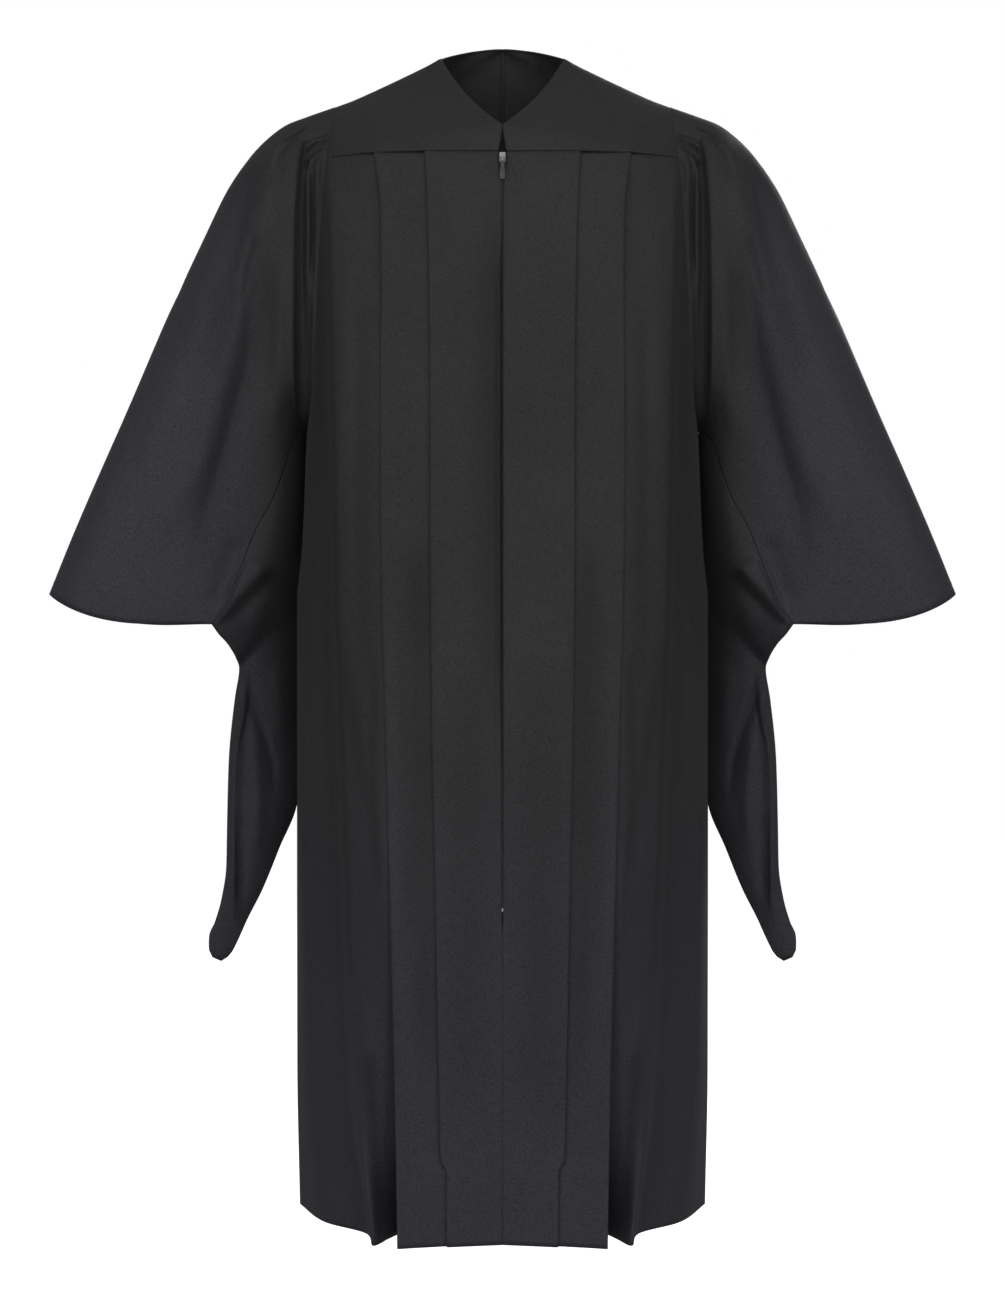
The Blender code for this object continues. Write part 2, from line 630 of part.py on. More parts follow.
def sleeve_surface(across, along):
    """The sleeve with its folds, moved out along the smooth form's normals."""
    step = 0.004
    form = sleeve_form(across, along)
    over = sleeve_form(np.clip(across + step, -1, 1), along)
    over = over - sleeve_form(np.clip(across - step, -1, 1), along)
    onward = sleeve_form(across, np.clip(along + step, 0, 1))
    onward = onward - sleeve_form(across, np.clip(along - step, 0, 1))
    normal = np.cross(over, onward)
    normal /= np.linalg.norm(normal, axis=-1)[..., None]
    outward = np.where((normal[..., 1] * np.sign(across) < 0)[..., None], -normal, normal)
    settled = smooth_step(along, 0, 0.02) * (1 - smooth_step(np.abs(across), 0.97, 1.0))
    return form + outward * (sleeve_relief(form) * settled)[..., None]


SLEEVE_ROWS = [
    *(0, 0.012, 0.026, 0.04, 0.055, 0.07, 0.087, 0.105, 0.13),
    *(0.17, 0.23, 0.31, 0.42, 0.55, 0.7, 0.86, 1),
]
SLEEVE_HEAD_ROWS = 9


def sleeve(name, side):
    """The rows near the head take evenly spaced columns along the armhole, the rest along the wrist."""
    rows, places = [], []
    wanted = np.linspace(-1, 1, 2001)
    for k, along in enumerate(SLEEVE_ROWS):
        opened = smooth_step(along, 0, 0.55)
        around = head_place(wanted) * (1 - opened) + wanted * opened
        weight = 0.5 * np.abs(np.gradient(around)) / 0.001 + 0.5 * np.exp(-((wanted / 0.75) ** 4))
        reached = np.concatenate([[0], np.cumsum((weight[1:] + weight[:-1]) / 2)])
        count = 37 if k < SLEEVE_HEAD_ROWS else 27
        across = np.interp(np.linspace(0, reached[-1], count), reached, wanted)
        rows.append(sleeve_surface(across, np.full(count, along)))
        places.append(across)
    return cloth_piece(name, rows, places, side)


TAIL_ROWS = [0, 0.05, 0.11, 0.17, 0.24, 0.30, 0.38, 0.48, 0.60, 0.70, 0.80, 0.90, 1.0]
TAIL_SHARES = 1 - np.array([1, 0.86, 0.7, 0.55, 0.42, 0.31, 0.23, 0.17, 0.13, 0.087, 0.04, 0.012])


def tail_surface(share, sign, along):
    """The tail from its outer edge (0) to the fold at its inner edge (1), on the front (-1) or back (1)."""
    at = at_level(TAIL_COLUMNS, TAIL_SECTIONS, along)
    outer = np.array([at["xl"], -at["fl"], -at["dl"]])
    inner = np.array([at["xr"], -at["fr"], -at["dr"]])
    row = outer + (inner - outer) * share[:, None]
    round_end = np.sqrt(np.clip(1 - share**4, 0, 1))
    swell = at["gap"] * round_end + at["belly"] * np.sin(math.pi * share**0.9) ** 0.8
    row[:, 1] += sign * swell
    top = at_level(TAIL_COLUMNS, TAIL_SECTIONS, 0.0)
    data = table(SLEEVE_COLUMNS, SLEEVE_SECTIONS)
    seam_at = 1 - share
    seam_x = through(data["along"], data["xs"], seam_at)
    seam_down = through(data["along"], data["ds"], seam_at)
    seam_half = through(data["along"], data["base"], seam_at)
    first = np.column_stack(
        [
            top["xl"] + (top["xr"] - top["xl"]) * share,
            sign * top["gap"] * round_end,
            -(top["dl"] + (top["dr"] - top["dl"]) * share),
        ]
    )
    wanted = np.column_stack([seam_x - 1.3 * MM, sign * seam_half, -seam_down - 0.9 * MM])
    return row + (wanted - first) * max(0, 1 - along / 0.35) ** 2


def sleeve_tail(name, side):
    rows, places = [], []
    for along in TAIL_ROWS:
        front_half = tail_surface(TAIL_SHARES, -1, along)
        turn = tail_surface(np.array([1.0]), 1, along)
        back_half = tail_surface(TAIL_SHARES, 1, along)[::-1]
        rows.append(np.vstack([front_half, turn, back_half]))
        places.append(np.arange(len(rows[-1])))
    return cloth_piece(name, rows, places, side)


def block(low, high):
    """Points and triangles of a box between two corners."""
    x, y, z = np.array([low, high]).T
    points = np.array([(x[i], y[j], z[k]) for i in (0, 1) for j in (0, 1) for k in (0, 1)])
    quads = [(0, 1, 3, 2), (4, 6, 7, 5), (0, 4, 5, 1), (2, 3, 7, 6), (0, 2, 6, 4), (1, 5, 7, 3)]
    faces = [f for a, b, c, d in quads for f in ((a, b, c), (a, c, d))]
    return points, np.array(faces)


def bevelled(made, width):
    modifier = made.modifiers.new("round", "BEVEL")
    modifier.width = width
    modifier.segments = 2
    modifier.limit_method = "ANGLE"
    return made


def combined(made, other, operation):
    """Cuts or joins a helper, which is hidden."""
    other.hide_render = True
    other.display_type = "WIRE"
    modifier = made.modifiers.new(operation.lower(), "BOOLEAN")
    modifier.operation = operation
    modifier.object = other
    modifier.solver = "EXACT"
    return made


def centre_forward(down):
    return at_level(FRONT_COLUMNS, FRONT_LEVELS, down * MM)["cf"]


def tape_forward(down):
    """The middle of the tape, just behind the fronts."""
    return centre_forward(down) - CLOTH / 2 - 1.5 * SEAM - TAPE_THICK / 2


def zip_tape():
    rows = []
    inner = [down for down in FRONT_ROWS if TAPE_TOP < down < TAPE_BOTTOM]
    for down in [TAPE_TOP, *inner, TAPE_BOTTOM]:
        y = -tape_forward(down)
        rows.append(np.array([(x, y, -down * MM) for x in (-TAPE_HALF_WIDTH, 0, TAPE_HALF_WIDTH)]))
    points, faces = sheet(rows, [np.arange(3)] * len(rows))
    closed, skin = wall(points, faces, TAPE_THICK)
    return solid("zip_tape", closed, skin, material("zip_tape", TAPE_COLOUR, 0.9))


def slider_face():
    """How far forward the slider's front face is: it stands 0.3 mm off the tape."""
    back_face = max(tape_forward(SLIDER_TOP), tape_forward(SLIDER_TOP + 12)) + TAPE_THICK / 2 + SEAM
    return back_face + SLIDER_THICK


def hinge_place():
    """The pull's axis, inside the bridge."""
    forward = slider_face() + BRIDGE_CLEAR / 2
    return np.array([0, -forward, -SLIDER_TOP * MM - SLIDER_LENGTH / 2])


def zip_slider():
    face = slider_face()
    top = -SLIDER_TOP * MM
    steel = material("zip_slider", STEEL_COLOUR, 0.3, 1.0)
    low = (-SLIDER_HALF_WIDTH, -face, top - SLIDER_LENGTH)
    high = (SLIDER_HALF_WIDTH, -face + SLIDER_THICK, top)
    body = bevelled(solid("zip_slider", *block(low, high), steel), 0.9 * MM)
    middle = hinge_place()[2]
    front_of_bridge = face + BRIDGE_CLEAR + BRIDGE_BAR
    arch_low = (-BRIDGE_HALF_WIDTH, -front_of_bridge, middle - BRIDGE_HALF_LENGTH)
    arch_high = (BRIDGE_HALF_WIDTH, -face + 1 * MM, middle + BRIDGE_HALF_LENGTH)
    arch = bevelled(solid("bridge_block", *block(arch_low, arch_high), steel), 0.3 * MM)
    inside = BRIDGE_HALF_LENGTH - BRIDGE_BAR
    hole_low = (-2 * MM, -face - BRIDGE_CLEAR, middle - inside)
    hole_high = (2 * MM, -face, middle + inside)
    hole = solid("bridge_hole", *block(hole_low, hole_high), steel)
    combined(arch, hole, "DIFFERENCE")
    return combined(body, arch, "UNION")


def zip_pull():
    """A flat tab with a window round the bridge. Its origin is on the hinge axis."""
    steel = material("zip_pull", STEEL_COLOUR, 0.3, 1.0)
    outline = np.array(PULL_HALF_WIDTHS) * MM
    rows = [np.array([(-w, 0, -d), (0, 0, -d), (w, 0, -d)]) for d, w in outline]
    points, faces = sheet(rows, [np.arange(3)] * len(rows))
    closed, skin = wall(points, faces, PULL_THICK)
    tab = bevelled(solid("zip_pull", closed, skin, steel), 0.25 * MM)
    half, start, end = PULL_WINDOW
    window = solid("pull_window", *block((-half, -2 * MM, -end), (half, 2 * MM, -start)), steel)
    combined(tab, window, "DIFFERENCE")
    for piece in (tab, window):
        piece.location = hinge_place()
        piece.rotation_euler = (-PULL_TILT, 0, 0)
    return tab


def zip_stop():
    width, thick, height = STOP_SIZE
    behind = -(tape_forward(STOP_DOWN) + TAPE_THICK / 2 + SEAM)
    low = (-width / 2, behind - thick, -STOP_DOWN * MM - height / 2)
    high = (width / 2, behind, -STOP_DOWN * MM + height / 2)
    steel = material("zip_stop", STEEL_COLOUR, 0.35, 1.0)
    return bevelled(solid("zip_stop", *block(low, high), steel), 0.4 * MM)


def wire(name, spots):
    """A bent wire along a smooth curve through its spots, in millimetres: x, forward, down."""
    line = bent(np.array(spots, float) * MM * np.array([1, -1, -1]), [3] * (len(spots) - 1))
    curve = bpy.data.curves.new(name, "CURVE")
    curve.dimensions = "3D"
    curve.bevel_depth = WIRE / 2
    curve.bevel_resolution = 1
    curve.use_fill_caps = True
    spline = curve.splines.new("POLY")
    spline.points.add(len(line) - 1)
    for point, place in zip(spline.points, line):
        point.co = (*place, 1)
    curve.materials.append(material(name, WIRE_COLOUR, 0.35, 1.0))
    made = bpy.data.objects.new(name, curve)
    bpy.context.scene.collection.objects.link(made)
    return made


def neck_fastening():
    """Two wires behind the yoke's front edges. The hook's end passes in front of the eye's loop."""
    wire("neck_eye", EYE_SPOTS)
    wire("neck_hook", HOOK_SPOTS)


def clear_scene():
    for made in list(bpy.data.objects):
        bpy.data.objects.remove(made)


def main():
    clear_scene()
    for side, name in ((-1, "right"), (1, "left")):
        yoke("yoke_" + name, side)
        front("front_" + name, side)
        sleeve("sleeve_" + name, side)
        sleeve_tail("sleeve_tail_" + name, side)
    back()
    zip_tape()
    zip_slider()
    zip_pull()
    zip_stop()
    neck_fastening()


main()
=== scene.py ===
"""How a graduation gown looks: fine shells of matt black cloth over the frame's solids, the zip with its
teeth, and the sewing.

Points are in metres in the frame's own axes: the origin is between the shoulders, the front faces -Y and
+X is the wearer's left. Tables are in millimetres: `down` is the distance below the origin, and `fwd` the
distance in front of it. Each is written for the left half, and the right half is its mirror image.
"""

import math

import bpy
import numpy as np
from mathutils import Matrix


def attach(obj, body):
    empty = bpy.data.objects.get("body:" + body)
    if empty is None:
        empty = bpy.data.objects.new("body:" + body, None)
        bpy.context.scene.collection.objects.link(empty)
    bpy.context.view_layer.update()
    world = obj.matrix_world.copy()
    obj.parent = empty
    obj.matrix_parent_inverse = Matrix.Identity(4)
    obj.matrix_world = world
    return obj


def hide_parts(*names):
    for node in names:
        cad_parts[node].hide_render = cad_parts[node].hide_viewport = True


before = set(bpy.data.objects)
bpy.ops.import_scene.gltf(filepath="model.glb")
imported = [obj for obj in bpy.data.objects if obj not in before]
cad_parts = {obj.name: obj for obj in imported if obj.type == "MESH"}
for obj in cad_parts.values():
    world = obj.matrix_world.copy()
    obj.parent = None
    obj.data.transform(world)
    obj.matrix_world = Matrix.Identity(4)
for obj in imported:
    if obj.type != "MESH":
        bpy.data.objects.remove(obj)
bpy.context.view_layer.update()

MM = 0.001
SHELL = 0.9 * MM  # thickness of the cloth that shows
HEM_DOWN = 1372
FRONT_TOP, BACK_TOP = 132.5, 150.5  # where the panels hang from the yoke
UNDERARM = 447
SLEEVE_CLEAR = 1.6 * MM  # from the middle of the body's wall to the middle of the sleeve's, at the armhole

# The camera stands level in front of the gown, half way down it.
CAMERA_PLACE = (0, -2.90, -0.7084)
CAMERA_LENS = 67

# The fronts, one row for a level. cf: how far forward the centre front is. x1, f1 and x2, f2: the edges
# of the two knife pleats. xv, fv: the hollow behind the second one. x3, f3: the soft third fold.
# xh, fh and xf, ff: the flank behind it. open: how far the second pleat has opened, 0 to 1.
FRONT_COLUMNS = "down cf x1 f1 x2 f2 xv fv x3 f3 xh fh xf ff open"
FRONT_LEVELS = [
    (FRONT_TOP, 105, 90.0, 106.5, 149.0, 98.0, 152, 96, 196.0, 72, 200, 69.5, 203, 67.5, 0),
    (165, 113, 88.0, 114.5, 144.5, 107.5, 148, 105, 200.0, 82, 204, 79, 207, 75, 0),
    (200, 120, 86.5, 121.5, 141.0, 115.0, 145, 113, 200.5, 90, 205, 86, 209, 80, 0),
    (300, 134, 83.8, 135.5, 139.3, 129.0, 143, 127, 197.5, 104, 207, 95, 213, 86, 0),
    (400, 143, 82.6, 144.5, 139.4, 139.0, 143, 137, 194.0, 111, 207, 97, 218, 78, 0),
    (446, 147, 82.4, 148.5, 139.4, 143.0, 143, 141, 193.0, 114, 207, 98, 224, 58, 0),
    (520, 152, 82.2, 154.0, 139.0, 149.0, 143, 146, 191.5, 117, 206, 100, 229, 60, 0),
    (650, 161, 81.8, 163.0, 137.0, 158.0, 141, 154, 189.0, 122, 205, 104, 233, 63, 0),
    (800, 171, 79.8, 173.5, 132.0, 170.5, 136, 164, 182.5, 129, 199, 107, 233, 62, 0.05),
    (950, 180, 76.5, 183.0, 127.3, 184.0, 131, 172, 176.5, 138, 193, 111, 231, 62, 0.15),
    (1100, 189, 73.3, 192.5, 122.5, 198.0, 126, 172, 169.0, 149, 185, 117, 229, 63, 0.40),
    (1200, 195, 70.8, 200.0, 119.5, 207.5, 122, 166, 163.5, 163, 178, 123, 226, 66, 0.65),
    (1276, 198.4, 69.2, 205.3, 118.1, 212.8, 120, 159, 156.6, 178, 170, 131, 220, 74, 0.86),
    (1289, 199.1, 62.4, 206.4, 117.8, 213.9, 119, 157, 155.0, 182, 167, 133, 218, 76, 0.88),
    (HEM_DOWN, 202, 61.5, 212.5, 116.3, 220.0, 116, 146, 143.4, 206, 154, 150, 206, 93, 1.0),
]
PLEAT_DEPTH = 16 * MM
PLEAT_LAYER = 2.2 * MM

# How far each front's edge stands from the centre line.
FRONT_GAP = [(FRONT_TOP, 4.7), (147, 4.6), (162, 1.3), (1000, 1.3), (1030, 0), (HEM_DOWN, 0)]

# The right front's edge rolls back behind the zip: down, how far back, and the width of the roll.
ROLL_COLUMNS = "down back wide"
ROLL_LEVELS = [
    (150, 0.0, 20),
    (215, 1.0, 24),
    (300, 9.0, 28),
    (520, 11.0, 30),
    (700, 8.0, 28),
    (860, 1.5, 26),
    (960, 0.0, 22),
]

# The outer edges of front and back: the armhole down to the underarm, then the side seam.
EDGE_COLUMNS = "down front_x front_fwd back_x back_aft"
EDGE_LEVELS = [
    (FRONT_TOP, 206.5, 63, 205.0, 80),
    (150, 208.2, 66.5, 205.5, 84),
    (200, 211.5, 73, 209.0, 90),
    (282, 216.6, 78, 214.0, 92),
    (327, 218.4, 76, 217.0, 87),
    (390, 222.8, 60, 222.0, 66),
    (420, 227.5, 38, 227.0, 42),
    (437, 231.5, 18, 231.3, 20),
    (447, 234.5, 0, 234.5, 0),
    (576, 238.5, 0, 238.5, 0),
    (650, 246.3, 0, 246.3, 0),
    (1200, 246.0, 0, 246.0, 0),
    (HEM_DOWN, 242.7, 0, 242.7, 0),
]

# The back: how far aft the centre is, and how tall its gathers and its flutes stand.
BACK_COLUMNS = "down aft gathers flutes"
BACK_LEVELS = [
    (BACK_TOP, 135, 0.5, 0.0),
    (168, 139, 3.2, 0.0),
    (200, 144, 3.6, 1.0),
    (260, 149, 3.0, 2.0),
    (340, 151, 1.5, 3.0),
    (430, 150, 0.0, 4.5),
    (650, 152, 0.0, 8.0),
    (950, 162, 0.0, 12.0),
    (1200, 170, 0.0, 15.0),
    (HEM_DOWN, 175, 0.0, 17.0),
]
BACK_ROUNDNESS = 2.4  # exponent of the rounded outline seen from above
BACK_GATHERS = 14
GATHERED_SHARE = 0.8
# The flutes: where each stands across the back, its share of the height, and its width.
BACK_FLUTES = [
    (-0.80, 0.6, 0.075),
    (-0.55, 1.0, 0.085),
    (-0.27, 0.7, 0.090),
    (0.02, 0.9, 0.095),
    (0.29, 0.75, 0.085),
    (0.56, 1.0, 0.090),
    (0.79, 0.55, 0.075),
]

# The yoke's inner edge, from the bottom of the centre front up the neck and down the centre back, and
# its outer edge along the armhole. `turn` runs from 0 at the front seam to 1 at the back seam.
YOKE_COLUMNS = "turn x fwd up"
YOKE_INNER = [
    (0.00, 4.7, 105, -131.7),
    (0.10, 0.6, 97, -99.7),
    (0.12, 4.2, 93.5, -96.0),
    (0.20, 20.4, 78, -80.3),
    (0.28, 36.5, 58, -61.7),
    (0.36, 55.1, 33, -35.3),
    (0.42, 66.2, 12, -14.9),
    (0.46, 74.0, -4, 0.5),
    (0.52, 71.5, -24, 6.5),
    (0.60, 54.5, -58, 19.5),
    (0.68, 28.0, -81, 29.7),
    (0.75, 0.0, -91, 34.0),
    (0.84, 0.0, -108, -18.0),
    (0.92, 0.0, -123, -80.0),
    (1.00, 0.0, -135, -149.6),
]
YOKE_OUTER = [
    (0.00, 206.5, 63, -131.7),
    (0.15, 204.5, 52, -108.0),
    (0.30, 201.0, 30, -76.0),
    (0.46, 199.0, 0, -58.7),
    (0.62, 200.0, -32, -72.0),
    (0.80, 202.5, -62, -103.0),
    (1.00, 205.5, -84, -149.6),
]
SHOULDER_TURN, NECK_POINT_TURN = 0.46, 0.75
YOKE_DIP, YOKE_DIP_TURN = 1.2 * MM, 0.004  # the yoke sinks into the front seam: how deep, and over which turn

# The sleeve from the armhole (0) to the wrist (1). xt, dt: the line over the top of the arm. xs, ds: the
# seam below, which the tail hangs from. wide: half the tube's width. base: half of it at the seam.
SLEEVE_COLUMNS = "along xt dt xs ds wide base"
SLEEVE_SECTIONS = [
    (0.00, 200.0, 58.7, 236.2, 447, 75, 1),
    (0.05, 233.1, 70.7, 242.5, 450, 79, 9),
    (0.10, 257.1, 80.3, 248.5, 458, 81, 17),
    (0.15, 279.9, 97.1, 252.0, 469, 81, 23),
    (0.20, 302.7, 121.1, 255.0, 480, 80, 27),
    (0.27, 325.0, 153.0, 258.5, 492, 79, 31),
    (0.36, 356.6, 216.9, 264.0, 508, 77, 35),
    (0.50, 398.5, 306.0, 275.0, 534, 74, 39),
    (0.65, 443.0, 408.0, 291.5, 565, 71, 43),
    (0.80, 487.0, 508.0, 309.0, 610, 68, 46),
    (0.90, 516.0, 575.0, 326.0, 651, 66, 48),
    (1.00, 542.4, 640.0, 343.4, 678, 64, 50),
]
ARM_SHARE = 0.3  # of each section, rounded over the arm
WRIST_SAG = 99 * MM
HEAD_CROWDING = 0.22  # how closely the head's gathers crowd towards the shoulder

# The folds of a sleeve, seen from the front: points x, down; then height (+ outwards) and width. The first
# ones are the head's gathers, which bend round the yoke's lower corner.
SLEEVE_FOLDS = [
    ([(229, 88), (242, 97), (257, 112)], -3.6, 3),
    ([(238, 103), (251, 114), (264, 133)], -3.0, 3.5),
    ([(203, 106), (219, 111), (228, 118), (234, 128)], -5.5, 2.6),
    ([(206, 101), (224, 105), (237, 115)], -3.2, 2.4),
    ([(211, 118), (223, 124), (229, 133), (231, 150)], -5.0, 2.6),
    ([(212, 124), (220, 131), (222, 141), (222, 169), (221, 199), (220, 234), (222, 298)], -5.0, 4),
    ([(206, 128), (213, 138), (214, 160), (210, 186)], -3.6, 2.6),
    ([(227, 135), (227, 187), (227, 228), (230, 320)], 3.4, 3.6),
    ([(214, 180), (213, 228), (216, 310)], 2.2, 3.6),
    ([(231, 100), (232, 150), (234, 216), (234, 300), (236, 400), (238, 458)], -6.0, 7),
    ([(222, 290), (225, 350), (231, 430)], -2.4, 5),
    ([(257, 240), (258, 272), (264, 375), (277, 477)], 5.5, 10),
    ([(277, 205), (281, 242), (298, 375), (346, 546), (365, 650)], -7.0, 12),
    ([(288, 221), (305, 306)], -3.0, 5),
    ([(284, 118), (292, 137), (305, 180), (332, 341), (347, 417)], -6.5, 14),
    ([(270, 150), (278, 200), (288, 260)], 3.0, 10),
    ([(312, 300), (353, 475), (411, 603)], 7.0, 18),
    ([(360, 260), (430, 460), (470, 610)], -3.5, 20),
    ([(312, 570), (327, 628), (347, 673)], -5.0, 13),
]
# Folds that lap over their neighbour: the cloth outside the line steps up and fades back over the reach.
# Each has points, height, reach and half the width of the step.
SLEEVE_LAPS = [
    (
        [
            *((234, 96), (234, 113), (235, 123), (237, 140), (239, 164), (241, 187)),
            *((242, 216), (242, 277), (243, 358), (244, 417), (244, 458)),
        ],
        *(8.0, 24, 1.6),
    ),
    ([(253, 104), (264, 124), (271, 156)], 2.4, 12, 1.6),
]
# Where less light gets into a sleeve's folds: points x, down; then how much darker, 0 to 1, and width.
SLEEVE_SHADE = [
    (
        [(234, 98), (234, 125), (236, 164), (238, 216), (238, 277), (239, 358), (240, 417), (241, 500)],
        *(0.75, 5),
    ),
    ([(221, 120), (222, 200), (227, 300), (232, 430), (238, 560)], 0.40, 13),
    ([(204, 107), (219, 111), (227, 117), (235, 128)], 0.90, 1.9),
    ([(204, 112), (221, 118), (228, 124), (234, 135)], 0.80, 1.6),
    ([(204, 101), (224, 106), (238, 118)], 0.70, 1.7),
    ([(205, 118), (219, 123), (227, 132), (231, 152)], 0.90, 1.8),
    ([(205, 124), (216, 129), (221, 139), (222, 169), (221, 215), (221, 300)], 0.75, 3.0),
    ([(208, 131), (213, 139), (214, 160), (210, 182)], 0.65, 2.5),
    ([(231, 91), (242, 98), (257, 112)], 0.60, 3),
    ([(240, 105), (251, 115), (263, 131)], 0.40, 3),
    ([(284, 118), (292, 137), (305, 180), (332, 341), (347, 417)], 0.22, 16),
    ([(281, 242), (298, 375), (346, 546), (365, 650)], 0.22, 13),
    ([(288, 221), (305, 306)], 0.30, 4),
]
# The same for a tail: its folds, its laps and where less light gets in.
TAIL_FOLDS = [
    ([(306, 690), (290, 666), (276, 650), (272, 700)], 4.0, 14),
    ([(284, 612), (266, 626), (260, 655), (262, 700)], -3.0, 8),
    ([(316, 730), (306, 756), (298, 778), (291, 798), (285, 822), (279, 846), (275, 896)], -6.0, 6),
    ([(302, 800), (297, 840), (293, 888), (295, 960)], 4.5, 8),
    ([(270, 720), (268, 770), (264, 830)], 3.0, 10),
    ([(312, 900), (310, 960), (318, 1030)], -2.5, 7),
]
TAIL_LAPS = [
    (
        [(304, 740), (307, 776), (310, 797), (315, 814), (319, 840), (322, 888), (321, 941), (322, 1040)],
        *(5.0, 9, 2),
    ),
    ([(272, 606), (279, 618), (293, 634), (309, 650), (323, 666), (336, 673), (350, 683)], 9.0, 30, 8),
]
TAIL_SHADE = [
    ([(274, 612), (293, 636), (309, 652), (323, 667), (336, 674), (352, 684)], 0.55, 8),
    ([(306, 756), (298, 778), (291, 798), (285, 822), (279, 846), (275, 900)], 0.30, 3.5),
    ([(302, 722), (308, 776), (312, 812), (316, 860), (318, 950), (318, 1062)], 0.62, 4.5),
    ([(236, 440), (237, 500), (240, 570), (246, 640)], 0.95, 7),
]

# The tail: its outer and inner edges in pairs down to the tip. gap: half the opening at the outer edge.
# belly: how far the pouch swells half way across.
TAIL_COLUMNS = "along xl dl fl xr dr fr gap belly"
TAIL_SECTIONS = [
    (0.00, 343.4, 679.2, 0, 235.0, 454.0, -3, 50.0, 0),
    (0.08, 335.7, 690.0, 0, 236.4, 500.0, -11, 44.0, 6),
    (0.16, 326.3, 701.3, -2, 238.6, 555.0, -24, 34.0, 14),
    (0.24, 318.1, 718.0, -4, 243.0, 612.0, -38, 18.0, 20),
    (0.30, 315.8, 731.0, -5, 244.5, 660.0, -46, 0.85, 22),
    (0.42, 321.5, 768.3, -8, 243.5, 730.0, -50, 0.85, 22),
    (0.55, 329.0, 840.3, -12, 243.0, 812.0, -50, 0.85, 20),
    (0.66, 331.4, 915.0, -15, 250.0, 893.0, -46, 0.85, 17),
    (0.76, 332.6, 968.0, -17, 271.0, 948.0, -38, 0.85, 13),
    (0.86, 338.6, 1008.1, -19, 291.0, 998.0, -30, 0.85, 9),
    (0.94, 347.0, 1037.0, -20, 309.0, 1034.0, -26, 0.85, 5),
    (0.975, 354.0, 1054.0, -21, 322.0, 1063.0, -24, 0.85, 3),
    (0.99, 354.5, 1068.0, -21, 330.0, 1077.0, -24, 0.85, 2),
    (1.00, 350.0, 1079.0, -21, 340.0, 1084.0, -24, 0.85, 1.2),
]

# The zip.
TAPE_THICK = 1.0 * MM
TAPE_BEHIND = 1.75 * MM  # from the middle of the fronts' cloth to the middle of the tape
TAPE_TOP, TAPE_BOTTOM = 134, 1008
TOOTH_PITCH = 2.2 * MM
TOOTH_TOP, TOOTH_BOTTOM = 147, 997

# The sewing.
HEM_STITCH_LEVELS = np.array([1283, 1285]) * MM  # the row of stitches, and the next level below it
ZIP_STITCH_INSET = 7 * MM
NECK_STITCH_INSET = 5 * MM
YOKE_STITCH_INSET = 1.8 * MM
WRIST_STITCH_INSET = 14 * MM
ARC_STITCH_INSET = 12 * MM
FRONT_FOLDED, SIDE_FOLDED, NECK_FOLDED = 5 * MM, 6 * MM, 3.5 * MM  # how much cloth is folded under


def table(columns, rows):
    """The rows as one array a column, in metres but for the shares."""
    plain = {"open", "along", "turn"}
    values = np.array(rows, float).T
    return {
        name: value if name in plain else value * MM
        for name, value in zip(columns.split(), values)
    }


def through(knots, values, at):
    """A smooth curve through points: a cubic between each two, level where the points turn back."""
    step = np.diff(knots)
    slope = np.diff(values) / step
    product = slope[:-1] * slope[1:]
    total = np.where(product > 0, slope[:-1] + slope[1:], 1)
    inner = np.where(product > 0, 2 * product / total, 0)
    tangent = np.concatenate([slope[:1], inner, slope[-1:]])
    at = np.clip(np.asarray(at, float), knots[0], knots[-1])
    i = np.clip(np.searchsorted(knots, at, side="right") - 1, 0, len(step) - 1)
    t = (at - knots[i]) / step[i]
    start, end = values[i], values[i + 1]
    rise = (end - start) * (3 * t**2 - 2 * t**3)
    bend = step[i] * (tangent[i] * t * (1 - t) ** 2 - tangent[i + 1] * t**2 * (1 - t))
    return start + rise + bend


def columns_at(columns, rows, places):
    """Every column of a table read at places along its first column."""
    data = table(columns, rows)
    names = columns.split()
    return {name: through(data[names[0]], data[name], places) for name in names[1:]}


def smooth_step(value, start, end):
    """0 before start, 1 after end, and a smooth rise between."""
    t = np.clip((value - start) / (end - start), 0, 1)
    return t * t * (3 - 2 * t)


def rounded(points, counts):
    """A curve through the points of each row, with that many steps between each two.

    It is the centripetal Catmull-Rom curve: from b to c, a blend of the straight blends of the points
    before, between and after, where a stretch takes the square root of its length as its time, so that
    tight bends stay round and long runs stay straight."""
    before = 2 * points[..., :1, :] - points[..., 1:2, :]
    after = 2 * points[..., -1:, :] - points[..., -2:-1, :]
    line = np.concatenate([before, points, after], axis=-2)
    times = np.sqrt(np.linalg.norm(np.diff(line, axis=-2), axis=-1))[..., None]
    found = []
    for k, count in enumerate(counts):
        a, b, c, d = (line[..., k + i : k + i + 1, :] for i in range(4))
        ta, tb, tc = (times[..., k + i : k + i + 1, :] for i in range(3))
        t = (np.arange(count) / count)[:, None] * tb
        first = -t / ta * a + (t + ta) / ta * b
        second = (tb - t) / tb * b + t / tb * c
        third = (tb + tc - t) / tc * c + (t - tb) / tc * d
        early = (tb - t) / (ta + tb) * first + (t + ta) / (ta + tb) * second
        late = (tb + tc - t) / (tb + tc) * second + t / (tb + tc) * third
        found.append((tb - t) / tb * early + t / tb * late)
    return np.concatenate([*found, points[..., -1:, :]], axis=-2)


